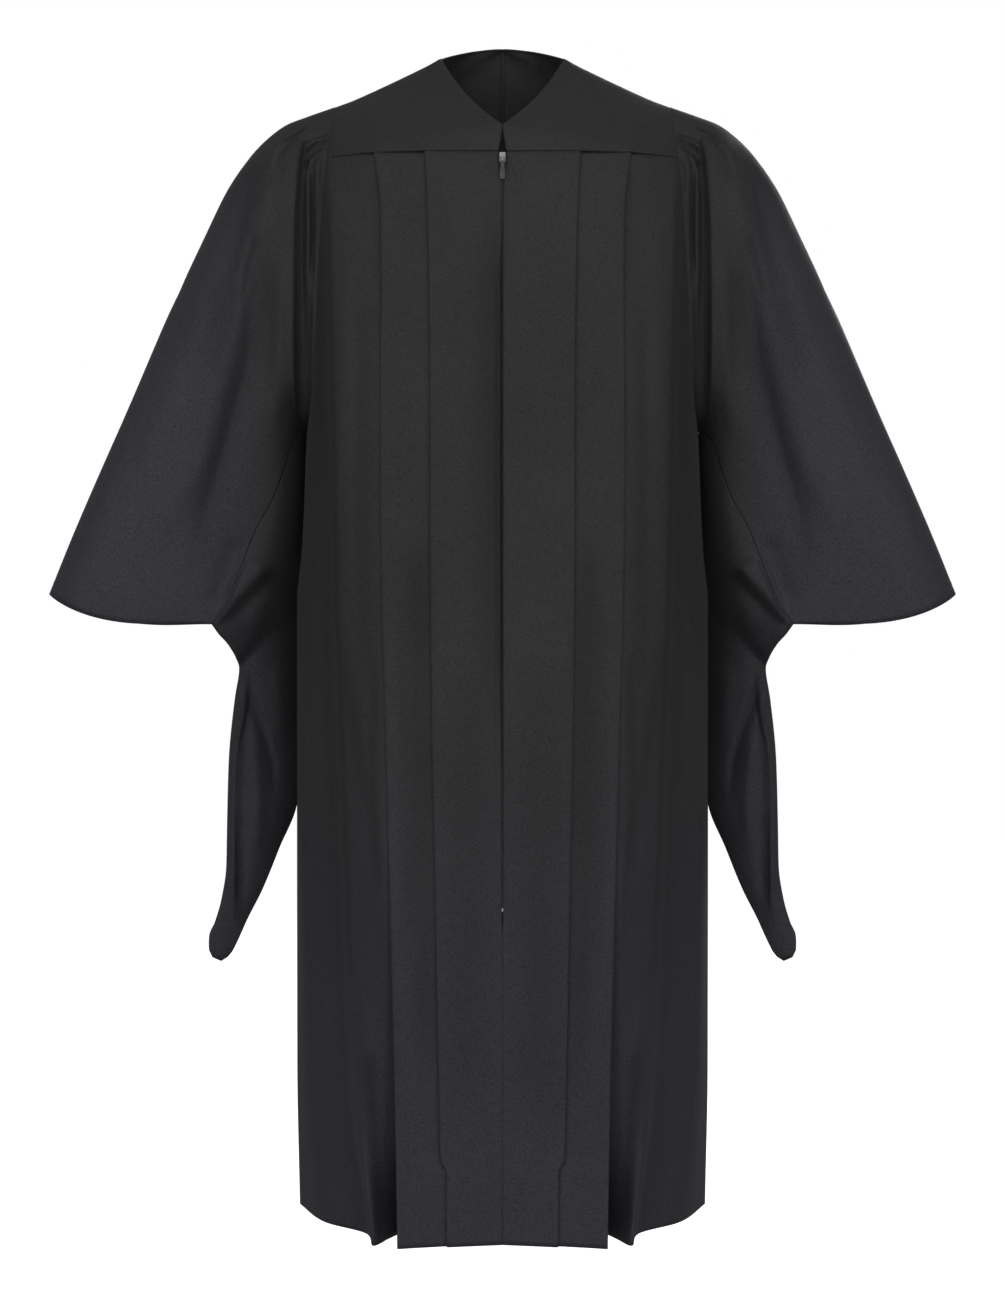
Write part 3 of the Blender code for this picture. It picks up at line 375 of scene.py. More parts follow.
def distance_to(line, points):
    """The distance from points to a line of straight runs, positive where they lie outside it, and the
    share along the line of the nearest spot."""
    best = np.full(points.shape[:-1], 1e9)
    share = np.zeros(points.shape[:-1])
    side = np.ones(points.shape[:-1])
    lengths = np.linalg.norm(np.diff(line, axis=0), axis=1)
    before = np.concatenate([[0], np.cumsum(lengths)])
    for k in range(len(line) - 1):
        run = line[k + 1] - line[k]
        t = np.clip(((points - line[k]) @ run) / (run @ run), 0, 1)
        from_start = points - line[k]
        away = np.linalg.norm(from_start - t[..., None] * run, axis=-1)
        nearer = away < best
        outside = np.sign(run[1] * from_start[..., 0] - run[0] * from_start[..., 1])
        side = np.where(nearer, outside, side)
        best = np.where(nearer, away, best)
        share = np.where(nearer, (before[k] + t * lengths[k]) / before[-1], share)
    return best * side, share


def folds_at(folds, points):
    """The height of soft folds: each a bell across its line, fading in and out along it."""
    relief = np.zeros(points.shape[:-1])
    for line, height, width in folds:
        away, share = distance_to(np.array(line) * MM, points)
        fade = smooth_step(share, 0, 0.2) * (1 - smooth_step(share, 0.65, 1.0))
        relief += height * MM * np.exp(-((away / (width * MM)) ** 2)) * fade
    return relief


def shade_at(places, points):
    """How much darker the cloth looks where less light gets in: soft bells along lines, 0 to 1."""
    shade = np.zeros(points.shape[:-1])
    for line, depth, width in places:
        away, share = distance_to(np.array(line) * MM, points)
        fade = smooth_step(share, 0, 0.1) * (1 - smooth_step(share, 0.75, 1.0))
        shade = np.maximum(shade, depth * fade * np.exp(-((away / (width * MM)) ** 2)))
    return shade


def laps_at(laps, points):
    """The height of lapped folds: each steps up outside its line, and falls as a bell over its reach."""
    relief = np.zeros(points.shape[:-1])
    for line, height, reach, soft in laps:
        away, share = distance_to(np.array(line) * MM, points)
        fade = smooth_step(share, 0, 0.12) * (1 - smooth_step(share, 0.8, 1.0))
        step = smooth_step(away, -soft * MM, soft * MM)
        relief += height * MM * step * np.exp(-((np.maximum(away, 0) / (reach * MM)) ** 2)) * fade
    return relief


# A flat pleat's points: shares of its depth along the panel, then layers along and behind it.
FLAT_PLEAT = [
    (0.0, -0.5, 0.0),
    (0.0, 0.0, 0.5),
    (0.0, -0.5, 1.0),
    (-0.5, 0.0, 1.0),
    (-1.0, 0.5, 1.0),
    (-1.0, 0.0, 1.5),
    (-1.0, 0.5, 2.0),
    (-0.4, 0.0, 2.0),
    (0.2, 0.0, 2.0),
]
PANEL_SHARES = np.array([0, 0.25, 0.55, 0.8])
SECOND_SHARES = np.array([0.3, 0.65])
FRONT_STEPS = [
    *(10, 12, 10, 8),  # the centre panel
    *(3, 3, 4, 4, 3, 3, 4, 4),  # the first pleat
    *(8, 8, 8),  # the second panel
    *(3, 3, 5, 5, 5, 3, 4, 4),  # the second pleat
    *(12, 7, 10, 8),  # the third fold and the flank
]
# Soft folds of a front, seen from the front: points x, down; then height (+ outwards) and width.
FRONT_FOLDS = [
    ([(153, 960), (145, 990), (137, 1016)], 1.6, 5),
    ([(100, 600), (97, 760), (93, 960), (90, 1120)], -4.0, 15),
    ([(122, 620), (120, 860), (112, 1150)], 1.8, 9),
    ([(48, 620), (46, 860), (44, 1120)], 1.2, 16),
    ([(58, 210), (55, 330), (52, 480)], -1.2, 14),
    ([(24, 980), (28, 1120), (26, 1280)], -1.4, 12),
    ([(168, 260), (166, 520), (161, 840)], -2.4, 10),
    ([(181, 180), (178, 330), (176, 470)], 1.4, 9),
    ([(146, 700), (150, 860), (146, 1010)], -2.2, 7),
    ([(213, 430), (217, 700), (213, 1020)], 2.2, 8),
    ([(226, 640), (223, 960), (217, 1290)], -2.6, 7),
    ([(196, 830), (190, 1030), (182, 1300)], -2.4, 8),
    ([(160, 1080), (150, 1180), (146, 1270)], 2.2, 7),
]
# Where less light gets in between the folds of a front, and behind the right front's edge.
FRONT_SHADE = [
    ([(97, 560), (95, 700), (93, 850), (89, 1000), (86, 1130), (84, 1240)], 0.40, 15),
    ([(188, 680), (167, 800), (143, 930), (130, 1050), (124, 1160), (122, 1260)], 0.26, 9),
    ([(40, 700), (42, 860), (42, 1020), (42, 1160), (42, 1300)], 0.24, 34),
    (
        [(205, 150), (201, 300), (196, 446), (191, 650), (184, 800), (178, 950), (171, 1100), (165, 1200)],
        *(0.34, 3),
    ),
    ([(207, 180), (208, 400), (206, 640), (200, 900), (186, 1180)], 0.26, 12),
    ([(146, 150), (143, 200), (143, 300)], 0.25, 5),
    ([(146, 700), (150, 860), (146, 1010)], 0.20, 6),
    ([(150, 1150), (146, 1250), (136, 1400)], 0.45, 8),
]
ROLL_SHADE = [([(4, 170), (8, 260), (10, 450), (9, 700), (4, 900)], 0.30, 20)]
SEAM_DIP, SEAM_HALF_WIDTH = 1.5 * MM, 1.5 * MM  # the front's cloth sinks into the yoke seam
THIRD_FOLD_STEP, THIRD_FOLD_REACH = 2.5 * MM, 22 * MM  # how the flank lies under the third fold


def flat_pleat(edge, heading):
    """The points of a knife pleat that turns back under its edge, and back again, at every level."""
    inward = np.stack([-heading[:, 1], heading[:, 0]], axis=-1)
    spots = np.array(FLAT_PLEAT)
    along = spots[:, 0] * PLEAT_DEPTH + spots[:, 1] * PLEAT_LAYER
    behind = spots[:, 2] * PLEAT_LAYER
    return (
        edge[:, None]
        + along[:, None] * heading[:, None]
        + behind[:, None] * inward[:, None]
    )


def open_pleat(edge, hollow, ridge):
    """The same points where the pleat has opened into a deep hollow, half way up to the next ridge."""
    lip = [(-0.8, 0), (0, 0.8), (-0.2, 3.0)]
    points = [edge + np.array(spot) * MM for spot in lip]
    points += [edge + (hollow - edge) * share for share in (0.35, 0.70, 1.0)]
    points += [hollow + (ridge - hollow) * share for share in (0.12, 0.28, 0.50)]
    return np.stack(points, axis=1)


def toward(start, end, shares):
    """Points at these shares of the way between two ends, at every level."""
    return start[:, None] + (end - start)[:, None] * shares[:, None]


def unit(vectors):
    """Each vector divided by its length."""
    return vectors / np.linalg.norm(vectors, axis=-1, keepdims=True)


def front_surface(levels, side):
    """A front: its outline from the centre to the armhole or side seam, carried down the levels.

    The outline is a curve through the centre panel, the two pleats, the third fold and the flank. Soft
    folds then move it outwards, the flank steps back under the third fold, the top sinks into the yoke
    seam, and the right front's edge rolls back by a bell of its distance."""
    at = columns_at(FRONT_COLUMNS, FRONT_LEVELS, levels)
    edge = columns_at(EDGE_COLUMNS, EDGE_LEVELS, levels)
    gaps = np.array(FRONT_GAP) * MM

    def spot(x, forward):
        return np.stack([at[x], -at[forward]], axis=-1)

    centre = np.stack([np.interp(levels, gaps[:, 0], gaps[:, 1]), -at["cf"]], axis=-1)
    first, second = spot("x1", "f1"), spot("x2", "f2")
    hollow, third = spot("xv", "fv"), spot("x3", "f3")
    pleat_one = flat_pleat(first, unit(first - centre))
    start = pleat_one[:, -1]
    pleat_two = flat_pleat(second, unit(second - start))
    opened = open_pleat(second, hollow, third)
    pleat_two = pleat_two + (opened - pleat_two) * at["open"][:, None, None]
    side_edge = np.stack([edge["front_x"], -edge["front_fwd"]], axis=-1)
    flank = np.stack([third, spot("xh", "fh"), spot("xf", "ff"), side_edge], axis=1)
    panel_one = toward(centre, first, PANEL_SHARES)
    panel_two = toward(start, second, SECOND_SHARES)
    outline = rounded(
        np.concatenate([panel_one, pleat_one, panel_two, pleat_two, flank], axis=1), FRONT_STEPS
    )
    x, y = outline[..., 0], outline[..., 1]
    z = np.broadcast_to(-levels[:, None], x.shape)
    relief = folds_at(FRONT_FOLDS, np.stack([x, -z], axis=-1))
    turn = smooth_step(x, 150 * MM, 245 * MM) * math.radians(85)
    settled = 1 - smooth_step(x, 225 * MM, 238 * MM)
    x = x + relief * settled * np.sin(turn)
    y = y - relief * settled * np.cos(turn)
    beyond = x - at["x3"][:, None]
    fading = np.exp(-((np.maximum(beyond, 0) / THIRD_FOLD_REACH) ** 2))
    under = smooth_step(beyond, -1 * MM, 1.5 * MM) * fading * (1 - at["open"][:, None])
    y = y + THIRD_FOLD_STEP * under * smooth_step(-z, 160 * MM, 200 * MM)
    y = y + SEAM_DIP * np.exp(-(((-z - FRONT_TOP * MM) / SEAM_HALF_WIDTH) ** 2))
    if side < 0:
        roll = columns_at(ROLL_COLUMNS, ROLL_LEVELS, levels)
        y = y + roll["back"][:, None] * np.exp(-((x / roll["wide"][:, None]) ** 2))
    return np.stack([side * x, y, z], axis=-1)


# How tall each of the back's gathers stands and how far down it reaches, from one side to the other.
GATHER_ROWS = [
    (0.80, 60),
    (1.15, 110),
    (0.70, 45),
    (1.30, 150),
    (0.95, 70),
    (1.25, 190),
    (0.60, 40),
    (1.10, 120),
    (0.85, 60),
    (1.35, 170),
    (0.75, 55),
    (1.20, 140),
    (0.90, 80),
    (1.05, 100),
]
# Longer soft folds of the back, seen from behind: points x, down; then height and width.
BACK_FOLDS = [
    ([(-152, 190), (-158, 330), (-166, 520)], 3.0, 9),
    ([(-118, 180), (-121, 380), (-128, 700)], -3.2, 11),
    ([(-84, 175), (-86, 300), (-92, 470)], 3.4, 9),
    ([(-50, 185), (-49, 420), (-54, 830)], -3.0, 13),
    ([(-16, 180), (-18, 330), (-21, 560)], 2.8, 10),
    ([(22, 175), (24, 290), (29, 430)], -2.6, 8),
    ([(57, 180), (60, 400), (58, 760)], 3.4, 12),
    ([(93, 185), (97, 310), (104, 520)], -3.2, 10),
    ([(129, 175), (134, 420), (146, 860)], 3.0, 11),
    ([(158, 190), (164, 300), (170, 450)], -2.4, 8),
    ([(-185, 640), (-190, 900), (-196, 1250)], -3.0, 10),
    ([(188, 560), (192, 860), (200, 1200)], 2.6, 10),
    ([(-70, 760), (-74, 1040), (-82, 1340)], 2.6, 14),
    ([(78, 700), (84, 980), (90, 1330)], -3.0, 13),
]


def back_surface(levels, across):
    """The back: a rounded outline with gathers and flutes, carried down the levels.

    The outline is a superellipse from one side edge to the other. The gathers are a sine wave under
    the yoke, each with its own height and reach, and each flute is a bell that grows toward the hem."""
    at = {name: value[:, None] for name, value in columns_at(BACK_COLUMNS, BACK_LEVELS, levels).items()}
    edge = columns_at(EDGE_COLUMNS, EDGE_LEVELS, levels)
    angle = (1 - np.abs(across)) * math.pi / 2
    reach = np.cos(angle) ** (2 / BACK_ROUNDNESS)
    depth = np.sin(angle) ** (2 / BACK_ROUNDNESS)
    x = np.sign(across) * edge["back_x"][:, None] * reach
    y = edge["back_aft"][:, None] + (at["aft"] - edge["back_aft"][:, None]) * depth
    z = np.broadcast_to(-levels[:, None], x.shape)
    rows = np.array(GATHER_ROWS)
    centres = (np.arange(BACK_GATHERS) + 0.5) / BACK_GATHERS * 2 - 1
    tall = through(centres, rows[:, 0], across / GATHERED_SHARE)
    far = through(centres, rows[:, 1], across / GATHERED_SHARE) * MM
    inside = 1 - smooth_step(np.abs(across), GATHERED_SHARE * 0.9, GATHERED_SHARE)
    below = levels[:, None] - BACK_TOP * MM
    fading = 1 - smooth_step(below, 0.3 * far, 1.3 * far + 60 * MM)
    wave = np.sin(across / GATHERED_SHARE * BACK_GATHERS * math.pi)
    stand = at["gathers"] * wave * inside * (0.35 + tall * fading)
    for centre, share, width in BACK_FLUTES:
        bell = np.exp(-(((across - centre) / width) ** 2)) - 0.25
        stand = stand + at["flutes"] * share * bell * (1 - np.abs(across) ** 6)
    seen = np.stack([np.broadcast_to(x, z.shape), -z], axis=-1)
    stand = stand + folds_at(BACK_FOLDS, seen) * (1 - smooth_step(np.abs(across), 0.85, 0.98))
    lean = np.sign(across) * (1 - depth)
    return np.stack([x + stand * lean, y + stand * depth, z], axis=-1)


def rail(rows, turn):
    """An edge of the yoke: points at the given turns."""
    at = columns_at(YOKE_COLUMNS, rows, turn)
    return np.stack([at["x"], -at["fwd"], at["up"]], axis=-1)


def seam_bulge(shares, start, end, outline):
    """How far a yoke seam's outline stands from the straight line between its ends, at these shares."""
    x = start[0] + (end[0] - start[0]) * shares
    straight = start[1] + (end[1] - start[1]) * shares
    order = np.argsort(outline[:, 0])
    return np.interp(x, outline[order, 0], outline[order, 1]) - straight


def front_seam_outline():
    """The top of the front without its pleats."""
    top = np.array([FRONT_TOP * MM])
    at = columns_at(FRONT_COLUMNS, FRONT_LEVELS, top)
    edge = columns_at(EDGE_COLUMNS, EDGE_LEVELS, top)
    x = [0, *(float(at[name][0]) for name in ("x1", "x2", "x3")), float(edge["front_x"][0])]
    forward = [float(at[name][0]) for name in ("cf", "f1", "f2", "f3")]
    forward.append(float(edge["front_fwd"][0]))
    return np.column_stack([x, -np.array(forward)])


def rounded_off(rows, share):
    """The rows with the crease at the centre-back neck point rounded.

    Away from all four edges, each point becomes a mean of its neighbours along the turn, with a bell
    of weights."""
    reach, end_rows = 9, 12
    weights = np.exp(-((np.arange(-reach, reach + 1) / (reach / 2)) ** 2))
    weights /= weights.sum()
    padded = np.concatenate([rows[:1]] * reach + [rows] + [rows[-1:]] * reach)
    mean = sum(weight * padded[k : k + len(rows)] for k, weight in enumerate(weights))
    row, last = np.arange(len(rows)), len(rows) - 1
    inside = smooth_step(row, 0, end_rows) * (1 - smooth_step(row, last - end_rows, last))
    part = inside[:, None] * smooth_step(share, 0.0, 0.18) * (1 - smooth_step(share, 0.85, 1.0))
    return rows + (mean - rows) * part[..., None]


def yoke_surface(turn, share, side):
    """Half the yoke: straight lines from the neck's edge to the armhole's, turned over the shoulder.

    At the front and back seams the lines take the outline of the panels that hang there, and that bulge
    fades as the power 1.4 of the distance from the shoulder. The front seam's edge sinks by a bell."""
    back_line = back_surface(np.array([BACK_TOP * MM]), np.linspace(0, 1, 40))[0, :, :2]
    ends = np.array([0.0, 1.0])
    inner_ends, outer_ends = rail(YOKE_INNER, ends), rail(YOKE_OUTER, ends)
    front_bulge = seam_bulge(share, inner_ends[0], outer_ends[0], front_seam_outline())
    back_bulge = seam_bulge(share, inner_ends[1], outer_ends[1], back_line)
    inner, outer = rail(YOKE_INNER, turn), rail(YOKE_OUTER, turn)
    rows = inner[:, None] + (outer - inner)[:, None] * share[:, None]
    in_front = np.clip(1 - turn / SHOULDER_TURN, 0, 1) ** 1.4
    behind = np.clip((turn - SHOULDER_TURN) / (1 - SHOULDER_TURN), 0, 1) ** 1.4
    rows[..., 1] += in_front[:, None] * front_bulge + behind[:, None] * back_bulge
    rows = rounded_off(rows, share)
    rows[..., 1] += YOKE_DIP * np.exp(-((turn[:, None] / YOKE_DIP_TURN) ** 2))
    rows[..., 0] *= side
    return rows


def armhole(around):
    """The armhole from the underarm (-1) up the front to the shoulder (0) and down the back (1)."""
    edge = table(EDGE_COLUMNS, EDGE_LEVELS)
    found = np.empty((len(around), 3))
    for name, yoke_end, chosen in (("front", 0, around <= 0), ("back", 1, around > 0)):
        corner = FRONT_TOP if name == "front" else BACK_TOP
        forward = edge["front_fwd"] if name == "front" else -edge["back_aft"]
        levels = np.linspace(UNDERARM, corner, 60) * MM
        x = through(edge["down"], edge[name + "_x"], levels)
        y = -through(edge["down"], forward, levels)
        upper = rail(YOKE_OUTER, np.linspace(yoke_end, SHOULDER_TURN, 40))
        line = np.vstack([np.column_stack([x, y, -levels]), upper])
        length = np.concatenate([[0], np.cumsum(np.linalg.norm(np.diff(line, axis=0), axis=1))])
        share = length / length[-1]
        for axis in range(3):
            found[chosen, axis] = np.interp(1 - np.abs(around[chosen]), share, line[:, axis])
    return found + np.array([SLEEVE_CLEAR, 0, 0])


def sleeve_section(around, along):
    """The sleeve without folds: round over the arm, then two sheets that hang down to the seam."""
    at = columns_at(SLEEVE_COLUMNS, SLEEVE_SECTIONS, along)
    fall = np.abs(around)
    round_part = np.sqrt(1 - (1 - np.clip(fall / ARM_SHARE, 0, 1)) ** 2)
    straight = np.clip((fall - ARM_SHARE) / (1 - ARM_SHARE), 0, 1)
    half = at["wide"] * round_part + (at["base"] - at["wide"]) * straight**1.3
    sag = WRIST_SAG * fall * (1 - fall) ** 1.5 * along**6
    x = at["xt"] + (at["xs"] - at["xt"]) * fall
    z = -(at["dt"] + (at["ds"] - at["dt"]) * fall) - sag
    return np.stack([x, np.sign(around) * half, z], axis=-1)


def head_place(across):
    """Where a lengthwise thread meets the armhole: crowded towards the shoulder."""
    return HEAD_CROWDING * across + (1 - HEAD_CROWDING) * np.sign(across) * np.abs(across) ** 12


def sleeve_form(across, along):
    """The sleeve's smooth form. across runs from the front seam (-1) over the arm (0) to the back (1)."""
    across, along = np.broadcast_arrays(across, along)
    opened = smooth_step(along, 0, 0.55)
    around = head_place(across) * (1 - opened) + across * opened
    form = sleeve_section(around, along)
    at_armhole = armhole(around.reshape(-1)).reshape(form.shape)
    start = sleeve_section(around, np.zeros_like(along))
    return form + (at_armhole - start) * ((1 - along) ** 9)[..., None]


def sleeve_surface(across, along, side):
    """The sleeve with its gathers and folds, which move the smooth form out along its normals."""
    step = 0.004
    form = sleeve_form(across, along)
    over = sleeve_form(np.clip(across + step, -1, 1), along)
    over = over - sleeve_form(np.clip(across - step, -1, 1), along)
    onward = sleeve_form(across, np.clip(along + step, 0, 1))
    onward = onward - sleeve_form(across, np.clip(along - step, 0, 1))
    normal = unit(np.cross(over, onward))
    outward = np.where((normal[..., 1] * np.sign(across) < 0)[..., None], -normal, normal)
    settled = smooth_step(along, 0, 0.02) * (1 - smooth_step(np.abs(across), 0.97, 1.0))
    seen = np.stack([form[..., 0], -form[..., 2]], axis=-1)
    relief = (folds_at(SLEEVE_FOLDS, seen) + laps_at(SLEEVE_LAPS, seen)) * settled
    points = form + outward * relief[..., None]
    return points * np.array([side, 1, 1])


def tail_surface(along, around, side):
    """The tail: pairs of lines between its outer and inner edge, bowed apart into a pouch.

    around runs from the outer edge on the front (-1) to the inner fold (0) and back to the outer edge
    behind (1). Near the top, the lines move onto the sleeve's seam."""
    share = 1 - np.abs(around)
    sign = np.where(around <= 0, -1, 1)
    at = {name: v[:, None] for name, v in columns_at(TAIL_COLUMNS, TAIL_SECTIONS, along).items()}
    round_end = np.sqrt(np.clip(1 - share**4, 0, 1))
    swell = at["gap"] * round_end + at["belly"] * np.sin(math.pi * share**0.9) ** 0.8
    x = at["xl"] + (at["xr"] - at["xl"]) * share
    y = -(at["fl"] + (at["fr"] - at["fl"]) * share) + sign * swell
    z = -(at["dl"] + (at["dr"] - at["dl"]) * share)
    top = columns_at(TAIL_COLUMNS, TAIL_SECTIONS, np.array([0.0]))
    seam = columns_at(SLEEVE_COLUMNS, SLEEVE_SECTIONS, 1 - share)
    joining = (np.clip(1 - along / 0.35, 0, 1) ** 2)[:, None]
    x = x + joining * (seam["xs"] - 0.9 * MM - top["xl"] - (top["xr"] - top["xl"]) * share)
    y = y + joining * sign * (seam["base"] - top["gap"] * round_end)
    z = z + joining * (top["dl"] + (top["dr"] - top["dl"]) * share - seam["ds"] - 0.4 * MM)
    seen = np.stack([x, -z], axis=-1)
    below = along[:, None]
    outer = np.maximum(smooth_step(share, 0, 0.12), 1 - smooth_step(below, 0.2, 0.3))
    settled = outer * (1 - smooth_step(share, 0.86, 1.0)) * smooth_step(below, 0, 0.05)
    settled = settled * (1 - smooth_step(below, 0.9, 1.0))
    relief = (folds_at(TAIL_FOLDS, seen) + laps_at(TAIL_LAPS, seen)) * settled
    return np.stack([side * x, y + sign * relief, z], axis=-1)


def zip_tape_surface(levels, x):
    """The zip's tape: the centre front's line moved back. Its right half rolls back with the front's edge,
    by a bell of the distance from the centre."""
    cf = columns_at(FRONT_COLUMNS, FRONT_LEVELS, levels)["cf"][:, None]
    roll = {name: v[:, None] for name, v in columns_at(ROLL_COLUMNS, ROLL_LEVELS, levels).items()}
    wide = np.where(x < 0, roll["wide"], 4 * MM)
    y = TAPE_BEHIND - cf + roll["back"] * np.exp(-((x / wide) ** 2))
    x, z = np.broadcast_arrays(x, -levels[:, None])
    return np.stack([x, y, z], axis=-1)


def link(name, mesh, finish):
    """A new object that shows a mesh in a material."""
    made = bpy.data.objects.new(name, mesh)
    mesh.materials.append(finish)
    bpy.context.scene.collection.objects.link(made)
    return made


def flat_places(points):
    """Where each point lies on the flat cloth: the mean lengths of the threads to it, both ways."""
    across = np.linalg.norm(np.diff(points, axis=1), axis=-1).mean(axis=0)
    down = np.linalg.norm(np.diff(points, axis=0), axis=-1).mean(axis=1)
    u = np.concatenate([[0], np.cumsum(across)])
    v = np.concatenate([[0], np.cumsum(down)])
    return np.stack(np.meshgrid(u, -v), axis=-1)


def cloth(name, points, finish, facing=None, thick=SHELL, shade=None):
    """A grid of points as a closed wall of cloth. Its faces look along `facing`, or away from each row.

    shade says how much less light each point gets, and is kept as an attribute of the mesh."""
    rows, columns = points.shape[:2]
    index = np.arange(rows * columns).reshape(rows, columns)
    corners = [index[:-1, :-1], index[:-1, 1:], index[1:, 1:], index[1:, :-1]]
    quads = np.stack(corners, axis=-1).reshape(-1, 4)
    normal = np.cross(points[1:, 1:] - points[:-1, :-1], points[1:, :-1] - points[:-1, 1:])
    if facing is None:
        away = (points[1:, 1:] + points[:-1, :-1]) / 2 - points[1:].mean(axis=1, keepdims=True)
        outwards = (normal * away).sum()
    else:
        outwards = (normal @ np.array(facing, float)).sum()
    if outwards < 0:
        quads = quads[:, ::-1]
    mesh = bpy.data.meshes.new(name)
    mesh.from_pydata(points.reshape(-1, 3).tolist(), [], quads.tolist())
    places = flat_places(points).reshape(-1, 2)[quads.reshape(-1)]
    mesh.uv_layers.new(name="flat").data.foreach_set("uv", places.reshape(-1))
    if shade is not None:
        mesh.attributes.new("shade", "FLOAT", "POINT").data.foreach_set("value", shade.reshape(-1))
    mesh.shade_smooth()
    made = link(name, mesh, finish)
    wall = made.modifiers.new("thickness", "SOLIDIFY")
    wall.thickness = thick
    wall.offset = 0
    return made


def joined(name, points, faces, finish):
    """Many small copies as one mesh: points (copies, points, 3) and the faces of one copy."""
    copies, count = points.shape[:2]
    faces = np.array(faces)
    shifted = faces[None] + (np.arange(copies) * count)[:, None, None]
    mesh = bpy.data.meshes.new(name)
    mesh.from_pydata(points.reshape(-1, 3).tolist(), [], shifted.reshape(-1, faces.shape[1]).tolist())
    mesh.shade_smooth()
    return link(name, mesh, finish)


def group(name, inputs, outputs):
    """A new shader node group. Inputs are name, kind and value; outputs are name and kind."""
    made = bpy.data.node_groups.new(name, "ShaderNodeTree")
    for label, kind, value in inputs:
        made.interface.new_socket(label, in_out="INPUT", socket_type=kind).default_value = value
    for label, kind in outputs:
        made.interface.new_socket(label, in_out="OUTPUT", socket_type=kind)
    return made, made.nodes.new("NodeGroupInput"), made.nodes.new("NodeGroupOutput")


def math_node(tree, operation, *values):
    """A Math node; each value is a number or a socket to link."""
    node = tree.nodes.new("ShaderNodeMath")
    node.operation = operation
    for socket, value in zip(node.inputs, values):
        if isinstance(value, (int, float)):
            socket.default_value = value
        else:
            tree.links.new(value, socket)
    return node.outputs[0]


def weave_group():
    """A plain weave from the flat cloth's own places, in metres.

    Warp and weft are sine waves a thread apart, and a checker of the two says which lies on top. Slubs
    are a noise that is stretched along each thread."""
    inputs = [("Thread", "NodeSocketFloat", 0.0006), ("Slub", "NodeSocketFloat", 0.3)]
    outputs = [("Height", "NodeSocketFloat"), ("Shade", "NodeSocketFloat")]
    made, given, result = group("weave", inputs, outputs)
    uv = made.nodes.new("ShaderNodeUVMap")
    uv.uv_map = "flat"
    parts = made.nodes.new("ShaderNodeSeparateXYZ")
    made.links.new(uv.outputs["UV"], parts.inputs[0])
    waves, cells = [], []
    for axis in (0, 1):
        turns = math_node(made, "DIVIDE", parts.outputs[axis], given.outputs["Thread"])
        wave = math_node(made, "SINE", math_node(made, "MULTIPLY", turns, math.pi))
        waves.append(math_node(made, "ABSOLUTE", wave))
        cells.append(math_node(made, "FLOOR", turns))
    over = math_node(made, "PINGPONG", math_node(made, "ADD", cells[0], cells[1]), 1.0)
    difference = math_node(made, "SUBTRACT", waves[0], waves[1])
    chosen = math_node(made, "MULTIPLY_ADD", difference, over, waves[1])
    slubs = []
    for stretch in ((1400, 60, 1), (60, 1400, 1)):
        mapping = made.nodes.new("ShaderNodeMapping")
        mapping.inputs["Scale"].default_value = stretch
        made.links.new(uv.outputs["UV"], mapping.inputs["Vector"])
        noise = made.nodes.new("ShaderNodeTexNoise")
        noise.inputs["Scale"].default_value = 1.0
        made.links.new(mapping.outputs["Vector"], noise.inputs["Vector"])
        slubs.append(noise.outputs["Fac"])
    slub = math_node(made, "SUBTRACT", math_node(made, "ADD", *slubs), 1.0)
    slub = math_node(made, "MULTIPLY", slub, given.outputs["Slub"])
    made.links.new(math_node(made, "ADD", chosen, slub), result.inputs["Height"])
    made.links.new(math_node(made, "ADD", slub, 0.5), result.inputs["Shade"])
    return made


def grain_group():
    """Fine uneven grain and larger soft patches, from Object coordinates."""
    inputs = [("Fine", "NodeSocketFloat", 700.0), ("Broad", "NodeSocketFloat", 6.0)]
    outputs = [("Fine", "NodeSocketFloat"), ("Broad", "NodeSocketFloat")]
    made, given, result = group("grain", inputs, outputs)
    place = made.nodes.new("ShaderNodeTexCoord")
    for label, detail in (("Fine", 2.0), ("Broad", 3.0)):
        node = made.nodes.new("ShaderNodeTexNoise")
        node.inputs["Detail"].default_value = detail
        made.links.new(place.outputs["Object"], node.inputs["Vector"])
        made.links.new(given.outputs[label], node.inputs["Scale"])
        made.links.new(node.outputs["Fac"], result.inputs[label])
    return made


def placed(tree, made, **values):
    """A node group in a material, with its own values."""
    node = tree.nodes.new("ShaderNodeGroup")
    node.node_tree = made
    for label, value in values.items():
        node.inputs[label].default_value = value
    return node


def mixed(tree, factor, first, second):
    """A colour between two, each a colour or a socket."""
    node = tree.nodes.new("ShaderNodeMix")
    node.data_type = "RGBA"
    tree.links.new(factor, node.inputs["Factor"])
    for socket, value in ((node.inputs[6], first), (node.inputs[7], second)):
        if isinstance(value, tuple):
            socket.default_value = value
        else:
            tree.links.new(value, socket)
    return node.outputs[2]


def span(tree, value, low, high, to_low=0.0, to_high=1.0):
    """A value from low to high, as a value from to_low to to_high."""
    node = tree.nodes.new("ShaderNodeMapRange")
    for socket, number in zip(list(node.inputs)[1:5], (low, high, to_low, to_high)):
        socket.default_value = number
    tree.links.new(value, node.inputs["Value"])
    return node.outputs["Result"]


def bump(tree, height, distance, strength, under=None):
    """Normals tilted by a height, over the normals `under` where they are given."""
    node = tree.nodes.new("ShaderNodeBump")
    node.inputs["Distance"].default_value = distance
    node.inputs["Strength"].default_value = strength
    tree.links.new(height, node.inputs["Height"])
    if under is not None:
        tree.links.new(under, node.inputs["Normal"])
    return node.outputs["Normal"]


def new_material(name):
    """A new material with its node tree and its shader."""
    made = bpy.data.materials.new(name)
    made.use_nodes = True
    return made, made.node_tree, made.node_tree.nodes["Principled BSDF"]


